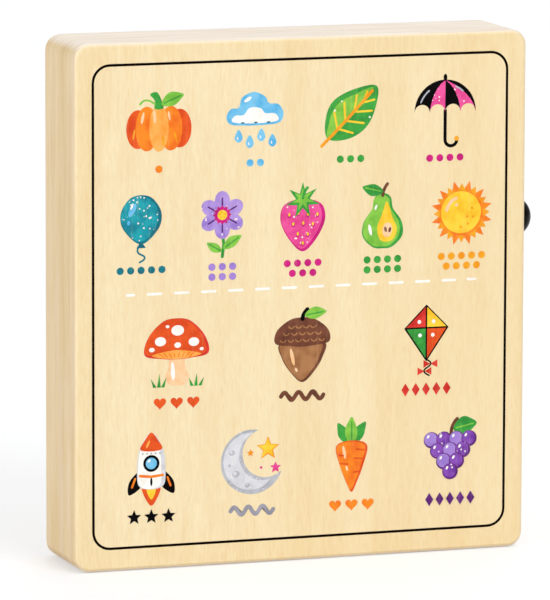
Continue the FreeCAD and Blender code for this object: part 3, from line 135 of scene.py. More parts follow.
class Finish:
    """One material and the nodes that make its pattern."""

    def __init__(self, name):
        self.material = bpy.data.materials.new(name)
        self.material.use_nodes = True
        self.tree = self.material.node_tree
        self.shader = self.tree.nodes["Principled BSDF"]
        self.place = self.node("ShaderNodeTexCoord", out="Object")

    def node(self, kind, settings=None, values=None, out=0):
        """A new node, its settings made first, then the values or links of its sockets."""
        made = self.tree.nodes.new(kind)
        for name, value in (settings or {}).items():
            setattr(made, name, value)
        for name, value in (values or {}).items():
            self.feed(made.inputs[name], value)
        return Wire(self, made.outputs[out])

    def feed(self, socket, value):
        if isinstance(value, Wire):
            self.tree.links.new(value.socket, socket)
        else:
            socket.default_value = value

    def maths(self, operation, first, second):
        return self.node("ShaderNodeMath", {"operation": operation}, {0: first, 1: second})

    def along(self, axis):
        """How far a point lies along X, Y or Z."""
        return self.node("ShaderNodeSeparateXYZ", values={0: self.place}, out=axis)

    def toward(self, axis):
        """How squarely the surface faces along X, Y or Z: 1 square on, 0 edge on, -1 away."""
        normal = self.node("ShaderNodeTexCoord", out="Normal")
        return self.node("ShaderNodeSeparateXYZ", values={0: normal}, out=axis)

    def facing(self, axis):
        """How squarely the surface faces along X, Y or Z, either way."""
        return self.toward(axis).size()

    def noise(self, stretch, shift=(0.0, 0.0, 0.0), detail=2.0):
        """Noise with so many waves to the metre, every way or along X, Y and Z."""
        if not isinstance(stretch, tuple):
            stretch = (stretch, stretch, stretch)
        moved = self.node("ShaderNodeVectorMath", {"operation": "ADD"}, {0: self.place, 1: shift})
        values = {"Vector": moved * stretch, "Scale": 1.0, "Detail": detail}
        return self.node("ShaderNodeTexNoise", values=values)

    def spots(self, scale, low, high):
        """Round spots, so many to the metre, each 1 inside low and 0 outside high."""
        values = {"Vector": self.place, "Scale": scale}
        return self.node("ShaderNodeTexVoronoi", values=values).under(low, high)

    def mix(self, share, first, second):
        """The first colour, or its code, where the share is 0, and the second where it is 1."""
        first, second = (colour(tone) if isinstance(tone, str) else tone for tone in (first, second))
        return self.node("ShaderNodeMix", {"data_type": "RGBA"}, {0: share, 6: first, 7: second}, out=2)

    def set(self, **values):
        for name, value in values.items():
            self.feed(self.shader.inputs[name.replace("_", " ")], value)

    def made(self, ground, roughness, height, depth, **more):
        """The material with its colour, roughness and relief, whose depth is in metres."""
        relief = self.node("ShaderNodeBump", values={"Height": height, "Strength": 1.0, "Distance": depth})
        self.set(Base_Color=ground, Roughness=roughness, Normal=relief, **more)
        return self.material


# Woods


def face_grain(wood, tones, shift):
    """Veneer seen flat, its grain upright: soft bands, short streaks and a few flecks."""
    bands = wood.noise((58, 30, 6), shift)
    patches = wood.noise((150, 60, 26), shift)
    streaks = wood.noise((420, 100, 60), shift)
    fibre = wood.noise((1300, 300, 210), shift)
    flecks = wood.noise((1050, 300, 170), shift, 1.0).over(0.6, 0.74)
    tone = (bands * 0.8 + patches * 0.45 + streaks * 0.5 + fibre * 0.75 - 0.75).over(0.0, 1.0)
    ground = wood.mix(tone, *tones)
    return wood.mix(flecks * 0.16, ground, "D6AE6C"), fibre, flecks


def edge_layers(wood):
    """Sanded layers seen on edge: soft streaks round the board, and a paler top, partly for its end grain and
    partly as painted light from above.
    """
    layers = wood.noise((6, 125, 6), (0.0, 1.3, 0.0))
    lines = wood.noise((28, 640, 28), detail=3.0)
    fibre = wood.noise((170, 2300, 170), detail=3.0)
    drift = wood.noise((22, 40, 22))
    tone = (layers * 0.75 + lines * 0.7 + drift * 0.5 + fibre * 0.4 - 0.67).over(0.05, 1.0)
    ground = wood.mix(tone, "F2DCB4", "DBBA80")
    blush = wood.noise((9, 100, 9), (0.0, 4.0, 0.0)).over(0.45, 0.7)
    ground = wood.mix(blush * 0.45, ground, "EAD3BC")
    # Painted light: the top face paler, partly its end grain tone and partly painted light from above
    above = wood.mix(lines.over(0.38, 0.68), "FBF2E6", "ECDDCD")
    return wood.mix(wood.facing("Z").over(0.45, 0.9) * 0.85, ground, above)


def painted_edge_shade(wood, ground):
    """The rounded rear edges and the edges that it stands on, browned with painted shade."""
    rear = wood.toward("Y").over(0.0, 0.35) * wood.toward("Y").under(0.85, 0.99)
    foot = wood.toward("Z").under(-0.45, -0.1) * wood.toward("Z").over(-0.99, -0.85)
    # Painted shade: the rear edge rounding and the standing edge's rounding mixed toward brown, for shade at
    # the back and the contact shadow under it
    return wood.mix(rear * 0.4 + foot * 0.3, ground, "B08C5E")


def within(wood, axis, middle, size):
    """1 within a size in millimetres round a middle along X or Z, and 0 past it."""
    reach = size / 2 * MM
    return (wood.along(axis) - middle * MM).size().under(reach - 0.5 * MM, reach)


def cover_wood():
    """Pale veneer, a little paler where the print's ground coat lies, with layers on its edges; painted shade
    deepens it towards the right and darkens its rear and foot edges, and a painted highlight lies on its
    rounded front edges.
    """
    wood = Finish("cover_veneer")
    ground, fibre, flecks = face_grain(wood, ("F8E7BF", "EDD19B"), (3.0, 0.0, 0.0))
    front = wood.facing("Y")
    border = within(wood, "X", PRINT_X, PRINT_WIDE) * within(wood, "Z", PRINT_Z, PRINT_TALL)
    inside = border * front.over(0.9, 0.98)
    ground = wood.mix(inside * 0.12, ground, "F9EACA")
    ground = wood.mix((1 - inside) * 0.16, ground, "EDCE94")
    # Painted shade: the face deeper and darker towards the right, where the light falls off across it
    ground = wood.mix(wood.along("X").over(-0.06, 0.09) * 0.26, ground, "EFD29A")
    # Painted highlight: the rounded front edges paler, most on the top edge, where light from above catches
    # them
    painted_edge_highlight = front.under(0.8, 0.97) * (wood.facing("Z") * 0.6 + 0.2)
    ground = wood.mix(painted_edge_highlight, ground, "FDEFD8")
    ground = wood.mix(front.under(0.45, 0.75), ground, edge_layers(wood))
    # Painted shade on the rear and foot edges
    ground = painted_edge_shade(wood, ground)
    return wood.made(ground, 0.42 + fibre * 0.16, fibre * 0.6 + flecks * -0.4 + 0.4, 0.00003)


def case_wood():
    """The frames' wood: grain on its flat faces and layers on its sides."""
    wood = Finish("case_layers")
    ground, fibre, _ = face_grain(wood, ("F3DFB6", "E6C88F"), (0.0, 0.0, 6.0))
    ground = wood.mix(wood.facing("Y").under(0.45, 0.75), ground, edge_layers(wood))
    # Painted shade on the rear and foot edges
    return wood.made(painted_edge_shade(wood, ground), 0.48 + fibre * 0.16, fibre, 0.00005)


def panel_wood():
    wood = Finish("panel_veneer")
    ground, fibre, _ = face_grain(wood, ("FAE8C3", "F0D49C"), (1.0, 0.0, 2.0))
    return wood.made(ground, 0.42 + fibre * 0.16, fibre, 0.00003)


def beech_dowel():
    wood = Finish("beech_dowel")
    fibre = wood.noise((1500, 120, 1500), detail=3.0)
    ground = wood.mix(fibre.over(0.3, 0.75), "E3BE8C", "BE8F58")
    return wood.made(ground, 0.6 + fibre * 0.1, fibre, 0.00008)


# Metals and plastics


def metal(name, code, roughness, stretch=900, wear=0.12):
    """Plated metal with fine working marks along the least stretched axis."""
    plate = Finish(name)
    marks = plate.noise(stretch, detail=3.0)
    cloud = plate.noise(160)
    ground = plate.mix((marks * 0.6 + cloud * 0.4).over(0.4, 0.75), code, dimmed(code, 0.72))
    return plate.made(ground, roughness + (marks - 0.5) * wear, marks, 0.00001, Metallic=1.0)


def plastic(name, code, roughness, texture=0.00001, fine=1400, coat=0.0, shine=0.5):
    """Moulded plastic with a fine skin and faint handling marks."""
    skin = Finish(name)
    cloud = skin.noise(55, detail=3.0)
    ground = skin.mix(cloud.over(0.42, 0.75) * 0.5, code, dimmed(code, 0.86, 0.07 * shine))
    skin.set(Coat_Weight=coat, Specular_IOR_Level=shine)
    return skin.made(ground, roughness + (cloud - 0.5) * 0.12, skin.noise(fine), texture)


def two_part(name, edge, inner, outer):
    """A switch whose case behind the panel and whose part in front of it differ.

    The edge is the place along Y between them. Inner and outer are each a colour,
    a metallic share and a roughness.
    """
    both = Finish(name)
    grain = both.noise(1100)
    cloud = both.noise(140)
    front = both.along("Y").over(edge - 0.05 * MM, edge + 0.05 * MM)
    inner_tone = both.mix(cloud.over(0.4, 0.8) * 0.3, inner[0], "5A5A5C")
    outer_tone = both.mix(cloud.over(0.4, 0.8) * 0.25, outer[0], "8C8C90")
    metallic = front * (outer[1] - inner[1]) + inner[1]
    roughness = front * (outer[2] - inner[2]) + inner[2] + (grain - 0.5) * 0.1
    return both.made(both.mix(front, inner_tone, outer_tone), roughness, grain, 0.00001, Metallic=metallic)


def lens(name, code):
    """A tinted clear lens, deeper at its foot than at its dome."""
    glass = Finish(name)
    cloud = glass.noise(220)
    depth = glass.along("Y").under(PLAY_Y - 2 * MM, PLAY_Y + 5 * MM)
    ground = glass.mix(depth * 0.7 + cloud * 0.15, code, dimmed(code, 0.62))
    glass.set(Base_Color=ground, Roughness=0.12 + cloud * 0.08, Coat_Weight=0.8)
    glass.set(Transmission_Weight=0.35, IOR=1.5)
    return glass.material


def circuit_green():
    """Solder mask over copper tracks."""
    board = Finish("solder_mask")
    tracks = board.node("ShaderNodeTexBrick", values={
        "Vector": board.place * (420, 0, 300),
        "Color1": (0, 0, 0, 1),
        "Color2": (0, 0, 0, 1),
        "Mortar": (1, 1, 1, 1),
        "Scale": 1.0,
        "Mortar Size": 0.05,
    }, out="Fac")
    ground = board.mix(tracks * 0.6, "0E5A31", "2F8F55")
    return board.made(ground, 0.3 + board.noise(1500) * 0.12, tracks, 0.00003)


def battery_film():
    """A plain dark film with a copper-coloured band at the nub end."""
    film = Finish("battery_film")
    grain = film.noise((900, 900, 300))
    band_edge = film.along("Z").over(0.0365, 0.0368)
    tip = film.along("Z").over(0.0462, 0.0463)
    ground = film.mix(band_edge, "2A2F38", "B9793A")
    ground = film.mix(tip, ground, "C9C9CC")
    return film.made(ground, 0.32 + grain * 0.1, grain, 0.00001, Metallic=tip * 0.7 + band_edge * 0.2)


def lead_vinyl(name, pair_pitch=None):
    """Red and black leads, told apart by the middle of the board or of each pair's pitch."""
    vinyl = Finish(name)
    across = vinyl.along("X")
    if pair_pitch:
        black = vinyl.maths("FRACT", across * (1 / MM / pair_pitch) + 20.0, 0.0).over(0.49, 0.51)
    else:
        black = across.under(-0.1 * MM, 0.1 * MM)
    grain = vinyl.noise(700)
    ground = vinyl.mix(black, "B3211C", "26262A")
    return vinyl.made(ground, 0.42 + grain * 0.12, grain, 0.00002)


def ink(name, code, shade, speckle=0.0, grain=0.12):
    """Printed colour with soft blotches, a little grain from the wood and pale specks."""
    print_coat = Finish(name)
    blotch = print_coat.noise(210, detail=3.0)
    fibre = print_coat.noise((1250, 300, 60), detail=3.0)
    ground = print_coat.mix(blotch.over(0.36, 0.7), code, shade)
    ground = print_coat.mix(fibre.over(0.55, 0.8) * grain, ground, "FBE7C0")
    if speckle:
        specks = print_coat.spots(560, 0.16, 0.24) * speckle
        ground = print_coat.mix(specks, ground, "FFF6EC")
    print_coat.set(Specular_IOR_Level=0.2 if grain else 0.03)
    return print_coat.made(ground, 0.44 + fibre * 0.12, fibre, 0.00002)


# Each ink's colour and the shade of its blotches, and where they differ its speckle and grain

INKS = {
    "line_black": ("0D0401", "120803", 0.0, 0.0),
    "white": ("FFFDF8", "F4EFE6"),
    "orange": ("F98B1E", "EF6C14"),
    "deep_orange": ("E9581A", "D8440F"),
    "light_orange": ("FFB45A", "F99A35"),
    "peach": ("FBD3A6", "F5BF88"),
    "sky": ("7CC7EC", "4FAEE0"),
    "green": ("3FA63F", "2A8A35"),
    "light_green": ("8CCB4A", "6DB53A"),
    "yellow": ("FBD43C", "F7BB1F"),
    "gold": ("F6A81C", "EE8F12"),
    "teal": ("1BA3AE", "0F7F90", 0.9),
    "dark_teal": ("0E7C8A", "0A6474"),
    "lavender": ("B79ADF", "9877CC", 0.9),
    "lavender_plain": ("A886D6", "9877CC"),
    "purple": ("8A4FB8", "6B2F98", 0.9),
    "dark_purple": ("66227F", "551A6C"),
    "magenta": ("D61C83", "B8126C"),
    "pink": ("F0569E", "DE3A86", 0.9),
    "red": ("E13A2E", "C6271F"),
    "brown": ("7A4630", "613321"),
    "tan": ("B07A4E", "96623A"),
    "coal": ("0E0B0C", "070506", 0.0, 0.0),
    "grey": ("BFC0C8", "A6A8B2", 0.4),
    "slate": ("A3A1AE", "8C8A98"),
    "light_grey": ("DFDFE4", "CBCCD4", 0.4),
}


def make_inks():
    return {name: ink(f"ink_{name}", *recipe) for name, recipe in INKS.items()}


# Modelling


def fresh():
    """Nothing selected."""
    bpy.ops.object.select_all(action="DESELECT")


def settle(piece, name):
    """Names a piece and writes its place into its mesh."""
    fresh()
    piece.select_set(True)
    bpy.context.view_layer.objects.active = piece
    bpy.ops.object.transform_apply(location=True, rotation=True, scale=True)
    piece.name = name
    piece.data.name = name
    return piece


def finish_modifiers(piece):
    bpy.context.view_layer.objects.active = piece
    for modifier in list(piece.modifiers):
        bpy.ops.object.modifier_apply(modifier=modifier.name)


def face_outward():
    """In edit mode: turns every face of the closed shape outward, and leaves edit mode."""
    bpy.ops.mesh.select_all(action="SELECT")
    bpy.ops.mesh.normals_make_consistent(inside=False)
    bpy.ops.object.mode_set(mode="OBJECT")


def join(pieces, name):
    fresh()
    for piece in pieces:
        piece.select_set(True)
    bpy.context.view_layer.objects.active = pieces[0]
    if len(pieces) > 1:
        bpy.ops.object.join()
    return settle(pieces[0], name)


def join_prints(shapes, name, body="case"):
    piece = join(shapes, name)
    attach(piece, body)


def dress(piece, material, body="case"):
    piece.data.materials.clear()
    piece.data.materials.append(material)
    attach(piece, body)


def copy_of(piece, shift=(0, 0, 0)):
    """A copy with its own mesh, moved by a shift."""
    copy = piece.copy()
    copy.data = piece.data.copy()
    copy.location = piece.location + Vector(shift)
    bpy.context.collection.objects.link(copy)
    return copy


def onto_cover(x, z, lift):
    """A point on the printed cover from millimetres across and up."""
    return Vector((x * MM, COVER_Y - lift * MM, z * MM))


def onto_panel(x, z, lift):
    """A point on the play panel from millimetres across and up, seen from the play side."""
    return Vector((-x * MM, PLAY_Y + lift * MM, z * MM))


def flat_shape(points, surface, lift, material, line=None):
    """A thin printed shape: a filled circle whose corners are drawn out to the points.

    With a line width in millimetres, only a line of that width inside the points is printed.
    """
    fresh()
    bpy.ops.mesh.primitive_circle_add(vertices=len(points), radius=1, fill_type="NGON")
    piece = bpy.context.object
    for corner, (x, z) in zip(piece.data.vertices, points):
        corner.co = surface(x, z, lift)
    outward = surface(0, 0, 1) - surface(0, 0, 0)
    if piece.data.polygons[0].normal.dot(outward) < 0:
        piece.data.flip_normals()
    if line:
        bpy.ops.object.mode_set(mode="EDIT")
        bpy.ops.mesh.select_all(action="SELECT")
        bpy.ops.mesh.inset(thickness=line * MM)
        bpy.ops.mesh.delete(type="FACE")
        bpy.ops.object.mode_set(mode="OBJECT")
    solid = piece.modifiers.new("thickness", "SOLIDIFY")
    solid.thickness = (DEPTH_SHARE * lift + INK_THICKNESS) * MM
    solid.offset = -1
    finish_modifiers(piece)
    piece.data.materials.append(material)
    return piece


# Outlines, in millimetres


def polar(x, z, reach, angle):
    """The point at a reach from another, in a direction in radians."""
    return (x + reach * math.cos(angle), z + reach * math.sin(angle))


def turned(x, z, across, up, turn):
    """The point across and up from another, turned round it by an angle in radians."""
    return (
        x + across * math.cos(turn) - up * math.sin(turn),
        z + across * math.sin(turn) + up * math.cos(turn),
    )


def curve(points, steps=7):
    """More points on a closed smooth line through the given ones."""
    line = []
    count = len(points)
    for index in range(count):
        before, start, end, after = (points[(index + offset) % count] for offset in (-1, 0, 1, 2))
        for step in range(steps):
            t = step / steps
            line.append(tuple(
                0.5 * (
                    2 * b
                    + (c - a) * t
                    + (2 * a - 5 * b + 4 * c - d) * t * t
                    + (3 * b - a - 3 * c + d) * t ** 3
                )
                for a, b, c, d in zip(before, start, end, after)
            ))
    return line


def shrunk(points, wide, tall, across, up=0.0):
    """A smooth shape inside an outline: its own shape, smaller and moved a little."""
    return curve([(x * wide + across, z * tall + up) for x, z in points])


def mirrored(half):
    """Points on one side of the middle line, and then their mirror images back to the first."""
    return half + [(-x, z) for x, z in half[::-1] if x]


def oval(x, z, wide, tall, tilt=0.0, count=36):
    """Points round an oval of a width and a height, turned by a tilt in degrees."""
    turn = math.radians(tilt)
    angles = [2 * math.pi * index / count for index in range(count)]
    return [turned(x, z, wide / 2 * math.cos(a), tall / 2 * math.sin(a), turn) for a in angles]


def ovals(*rows, count=12):
    """Small ovals, each from its place, width, height and tilt."""
    return [oval(*row, count) for row in rows]


def dot(x, z, wide, count=36):
    return oval(x, z, wide, wide, 0, count)


def band(points, width):
    """The outline of a stroke with round ends along an open line."""
    left = []
    right = []
    for index, (x, z) in enumerate(points):
        ahead = points[min(index + 1, len(points) - 1)]
        behind = points[max(index - 1, 0)]
        along = Vector((ahead[0] - behind[0], ahead[1] - behind[1])).normalized()
        left.append((x - along.y * width / 2, z + along.x * width / 2))
        right.append((x + along.y * width / 2, z - along.x * width / 2))
    start = round_end(points[1], points[0], width)
    end = round_end(points[-2], points[-1], width)
    return left + end + right[::-1] + start


def round_end(behind, tip, width):
    heading = math.atan2(tip[1] - behind[1], tip[0] - behind[0])
    return [polar(*tip, width / 2, heading + math.radians(degrees)) for degrees in (60, 30, 0, -30, -60)]


def arc(x, z, radius, start, end, count=12):
    """Points along part of a circle, its ends in degrees."""
    angles = [math.radians(start + (end - start) * index / (count - 1)) for index in range(count)]
    return [polar(x, z, radius, angle) for angle in angles]


def rounded(x, z, wide, tall, corner):
    """Points round a rectangle with rounded corners."""
    points = []
    for side_x, side_z, start in ((1, 1, 0), (-1, 1, 90), (-1, -1, 180), (1, -1, 270)):
        middle_x = x + side_x * (wide / 2 - corner)
        middle_z = z + side_z * (tall / 2 - corner)
        points += arc(middle_x, middle_z, corner, start, start + 90, 9)
    return points


def bend(start, middle, end, count=7):
    """Points along a bend that starts and ends at two points and leans toward a third."""
    points = []
    for index in range(count):
        t = index / (count - 1)
        shares = ((1 - t) ** 2, 2 * t * (1 - t), t * t)
        places = zip(start, middle, end)
        points.append(tuple(a * shares[0] + b * shares[1] + c * shares[2] for a, b, c in places))
    return points


def heart(x, z, size):
    """Points round a heart of a width."""
    points = []
    for index in range(24):
        t = 2 * math.pi * (index + 0.5) / 24
        across = 16 * math.sin(t) ** 3
        up = 13 * math.cos(t) - 5 * math.cos(2 * t) - 2 * math.cos(3 * t) - math.cos(4 * t)
        points.append((x + across * size / 32, z + up * size / 32))
    return points


def star(x, z, points, outer, inner, tilt=90.0):
    corners = []
    for index in range(2 * points):
        reach = inner if index % 2 else outer
        corners.append(polar(x, z, reach, math.radians(tilt + 180 * index / points)))
    return corners


# A leaf's outline, as shares of its length and its width
LEAF = ((0, 0), (0.25, 0.38), (0.55, 0.5), (0.85, 0.24), (1, 0), (0.85, -0.2), (0.5, -0.42), (0.2, -0.3))


def leaflet(x, z, long, wide, tilt):
    """A pointed leaf that starts at a point and grows along a tilt in degrees."""
    turn = math.radians(tilt)
    return curve([turned(x, z, along * long, beside * wide, turn) for along, beside in LEAF], 4)


def vein(x, z, long, tilt):
    """The middle vein of a leaf."""
    return band([polar(x, z, long * share, math.radians(tilt)) for share in (0.12, 0.85)], 0.5)


def pair(draw):
    """The same shape on the left and on the right."""
    return [draw(-1), draw(1)]


def row_of(count, pitch):
    """Places of so many things side by side round the middle."""
    return [(index - (count - 1) / 2) * pitch for index in range(count)]


# Motifs of the print: each a list of an ink and shapes, from the bottom layer up


def pumpkin():
    tendril = band(bend((-1.6, 8.2), (-5.4, 11.2), (-7.4, 8.2)), 0.7)
    return [
        ("deep_orange", *pair(lambda side: oval(side * 8.2, -1.2, 9.2, 14.6))),
        ("orange", *pair(lambda side: oval(side * 4.7, -1.1, 9, 16.8))),
        ("light_orange", oval(0, -1, 7.6, 17.6)),
        ("peach", *ovals((-1.7, 3.4, 1.2, 5.2, 4), (-6.4, 3, 1.1, 4.6, -12), (4, 3.6, 0.9, 3.6, 10))),
        ("gold", *ovals((1.7, -5.6, 0.9, 4.2, 6), (6.6, -4.6, 0.9, 4.4, 14), (-9.8, -3, 0.8, 4, -10))),
        ("green", curve([(-1.6, 6.4), (-1.6, 9.4), (-3.4, 11.8), (-0.8, 12.6), (1, 9.6), (1.7, 6.5)])),
        ("light_green", leaflet(1, 8, 9.4, 5.6, 22), tendril),
        ("green", vein(1, 8, 9.4, 22)),
    ]


def rain_cloud():
    puffs = [
        (-9.8, -1.6), (-11.4, 1.2), (-9.6, 4.2), (-6.6, 4.6), (-5.2, 8.4), (-0.6, 10.4), (3.8, 8.6),
        (5.4, 6), (9.2, 5.4), (11.2, 2), (9.6, -1.4), (4, -2.2), (-4, -2.2),
    ]
    belly = [
        (-8.8, -0.8), (-8, 1.6), (-4.6, 1.8), (-2.2, 4.4), (2, 4.2), (4, 2.2), (7.8, 2), (8.8, -0.8),
        (0, -1.5),
    ]
    drops = ((-6.6, -6.6), (-2.2, -8.8), (2.4, -6.4), (6.8, -8.6))

    def drop(x, z):
        return curve([(x, z + 2.9), (x - 1.6, z - 0.3), (x, z - 2), (x + 1.6, z - 0.3)], 5)

    return [
        ("sky", curve(puffs, 5)),
        ("white", curve(belly, 5), oval(-3, 7.6, 3.4, 1.3, 32, 14)),
        ("sky", *[drop(x, z) for x, z in drops]),
        ("dark_teal", *[oval(x, -1.2, 1.6, 0.6, 0, 12) for x in (-5, 0.2, 5.2)]),
        ("white", *[oval(x - 0.4, z - 0.3, 0.5, 1.3, 10, 10) for x, z in drops]),
    ]


def leaf():
    blade = [(-9, -8.6), (-10.2, -2), (-7.4, 5.4), (0.6, 9.8), (10.4, 11), (9.8, 2.4), (6, -4.8), (-1, -8.8)]
    veins = (
        ((-5.4, -4.6), (-6.6, 1.6)), ((-2.2, -1.8), (-2.6, 5)),
        ((1.4, 1.2), (2.4, 7.6)), ((4.8, 4.6), (6.6, 9)),
        ((-4.6, -5), (0.8, -6.6)), ((-1.2, -2), (5.2, -3)),
        ((2.4, 1.4), (8.4, 1.6)), ((5.8, 5), (9.4, 5.8)),
    )
    return [
        ("green", curve(blade)),
        ("light_green", curve([(-8, -7.6), (-8.6, -2), (-5.6, 4.2), (1, 7.8), (9, 9.8)])),
        ("yellow", *[band(ends, 0.8) for ends in veins]),
        ("gold", band([(-11.6, -11.2), (-7, -6.8), (0, 0.2), (8.6, 9.2)], 1.2)),
        ("white", dot(-6.4, 2.2, 0.8, 10), dot(-3.6, 5.6, 0.7, 10), dot(7.6, -0.8, 0.8, 10)),
    ]


def umbrella():
    """Four scallops wide, with every other panel pink."""
    scallops = []
    for middle in (-9.3, -3.1, 3.1, 9.3):
        scallops += arc(middle, 1, 3.1, 180, 0, 9)[1:-1] + [(middle + 3.1, 1)]
    panels = []
    for left in (-6.2, 6.2):
        right = left + 6.2
        top = left * 0.02
        panels.append(
            bend((top, 13.2), (left * 0.86, 9.6), (left, 1))
            + arc(left + 3.1, 1, 3.1, 180, 0, 9)[1:-1]
            + bend((right, 1), (right * 0.86, 9.6 - right * 0.1), (top + 0.2, 13.2))
        )
    return [
        ("coal", band([(0, 1.6), (0, -9.6)] + arc(2.4, -9.6, 2.4, 180, 350, 9)[1:], 1.3)),
        ("coal", arc(0, 1, 12.4, 0, 180, 26) + scallops[:-1]),
        ("pink", *panels),
        ("coal", oval(0, 14.2, 1.5, 2.8, 0, 14)),
        ("grey", band(arc(0, 1, 10.6, 128, 158, 8), 0.6), band(arc(0, 1, 10.6, 48, 66, 6), 0.6)),
        ("gold", dot(4.7, -9.2, 1.9, 14)),
    ]


def balloon():
    skin = mirrored([(0, -6.6), (-6.8, -1), (-8, 5.2), (-4.6, 10.6), (0, 12)])
    string = bend((0, -6.4), (-3, -9.4), (0.2, -10.6)) + bend((0.8, -10.9), (2.6, -12), (-0.6, -13.4))
    return [
        ("dark_teal", band(string, 0.7)),
        ("dark_teal", curve(skin)),
        ("teal", shrunk(skin, 0.9, 0.93, -0.5, 0.5)),
        ("dark_teal", [(-1.9, -8), (0, -5.4), (1.9, -8)]),
        ("sky", oval(-3.4, 6.4, 2.2, 5.4, -28), oval(-4.9, 1.6, 1.2, 1.8, -10, 14)),
        ("white", oval(-3.7, 7.6, 0.8, 2, -28, 12)),
    ]


def flower():
    middle = (0, 3.2)
    tilts = [60 * index + 30 for index in range(6)]
    strokes = [[polar(*middle, reach, math.radians(tilt)) for reach in (3.8, 6.4)] for tilt in tilts]
    return [
        ("green", band([(0, -3), (0.6, -8), (0, -12.6)], 1.2)),
        ("light_green", leaflet(0.4, -9.6, 8.6, 4.4, 34), leaflet(-0.2, -10.6, 6.8, 3.8, 150)),
        ("green", vein(0.4, -9.6, 8.6, 34), vein(-0.2, -10.6, 6.8, 150)),
        *[("lavender", oval(*polar(*middle, 5.3, math.radians(tilt)), 7.6, 6, tilt, 28)) for tilt in tilts],
        ("dark_purple", *[band(stroke, 0.6) for stroke in strokes]),
        ("magenta", star(*middle, 12, 3.7, 2.9)),
        ("yellow", dot(*middle, 3.8)),
        ("gold", *[dot(*polar(*middle, 1.1, angle), 0.7, 8) for angle in (0.4, 1.7, 2.9, 4.2, 5.4)]),
    ]


def strawberry():
    body = mirrored([(0, -12), (-5.2, -7.6), (-8.8, -0.6), (-8, 5.2), (-3.6, 7.6), (0, 6.8)])
    seeds = (
        (-5.4, 2.2), (-1.8, 2.8), (2, 2.2), (5.8, 2), (-3.8, -1.4),
        (0.2, -1.2), (4, -1.6), (-2, -5.2), (2, -5.4), (0, -8.8),
    )
    return [
        ("magenta", curve(body)),
        ("pink", shrunk(body, 0.91, 0.93, -0.5, 0.2)),
        ("magenta", *[oval(x, z - 0.3, 1.5, 2.1, 0, 12) for x, z in seeds]),
        ("yellow", *[oval(x, z, 0.9, 1.4, 0, 10) for x, z in seeds]),
        ("green", star(0, 7.4, 7, 7, 2.8)),
        ("light_green", star(0, 7.8, 7, 4.4, 1.8)),
        ("green", band(bend((0, 8.4), (0.2, 10.4), (1.8, 12.2)), 1.1)),
    ]


def pear():
    body = mirrored([(0, 9), (-3.2, 7.4), (-4.2, 3), (-7.6, -2), (-8, -7.4), (-4, -11.6), (0, -12.2)])
    flesh = [(1.4, 5.6), (-0.2, 1), (-2.2, -4.4), (-0.6, -9.2), (3.8, -9.2), (5.8, -5), (3.8, 0), (2.6, 4)]
    return [
        ("green", curve(body)),
        ("light_green", shrunk(body, 0.9, 0.94, -0.5)),
        ("yellow", curve(flesh)),
        ("peach", oval(1.9, -5.2, 4, 5.6, -8)),
        ("brown", *ovals((1.2, -5, 1.1, 2.2, 14), (2.9, -5.2, 1.1, 2.2, -14))),
        ("white", oval(-5, -5, 1.3, 4.4, 12, 14), oval(-2.7, 3.6, 0.9, 2.2, -20, 12)),
        ("brown", band(bend((0, 8), (0.2, 10.4), (1.9, 12.4)), 1.2)),
        ("green", leaflet(0.2, 9.4, 8.6, 5, 166)),
        ("light_green", vein(0.2, 9.4, 8.6, 166)),
    ]


def sun():
    specks = ((2.6, -4.2), (4.6, -1.6), (4.2, 1.8), (-0.4, -5.4), (2.2, -1.4))
    return [
        ("orange", star(0, 0, 12, 12.6, 8, 75)),
        ("gold", star(0, 0, 12, 11.4, 8)),
        ("orange", dot(0, 0, 17.4)),
        ("yellow", dot(-0.3, 0.3, 16.2)),
        ("peach", band(arc(0, 0, 6.2, 112, 168, 9), 1.3), dot(-2.1, 3.2, 1.3, 12)),
        ("gold", *[dot(x, z, 1.1, 10) for x, z in specks]),
    ]


def mushroom():
    stem = [(-3.4, 2), (-3, -4), (-4.4, -9.6), (-2, -12), (2.6, -12), (4.8, -9.6), (3.2, -4), (3.6, 2)]
    cap = mirrored([(-12.6, -0.2), (-11.2, 6.4), (-5.6, 12.2), (0, 13.4)])
    cap += [(6, -1.8), (0, -2.2), (-6, -1.8)]
    spots = (
        (-6.4, 4.8, 4.4), (0.4, 8.8, 5), (6.8, 4.2, 4.2), (0.4, 3.2, 2.6),
        (-9.8, 1.8, 2.2), (-3.6, 10.4, 1.5), (9.9, 1.4, 1.6),
    )
    grass = (
        (-8.6, -1.6, 3.4), (-7, 0.2, 5.2), (-5.5, 1.4, 3.6),
        (6.1, -1.2, 3.2), (7.6, 0.4, 4.8), (9.2, 1.6, 3.2),
    )
    foot = -12.6
    return [
        ("peach", curve(stem)),
        ("white", oval(-1.5, -6.6, 1.6, 7, 3, 16)),
        ("red", curve(cap)),
        ("deep_orange", shrunk(cap, 0.94, 0.93, -0.4, 0.6)),
        ("light_orange", curve([(-9.8, -0.5), (0, 1.3), (9.8, -0.5), (0, -2.1)])),
        ("orange", *[band([(x, 0.2), (x * 0.72, -1.3)], 0.45) for x in row_of(8, 2)]),
        ("white", *[oval(x, z, wide, wide * 0.8, 0, 22) for x, z, wide in spots]),
        ("green", *[[(x - 0.7, foot), (x + 0.7, foot), (x + lean, foot + tall)] for x, lean, tall in grass]),
    ]


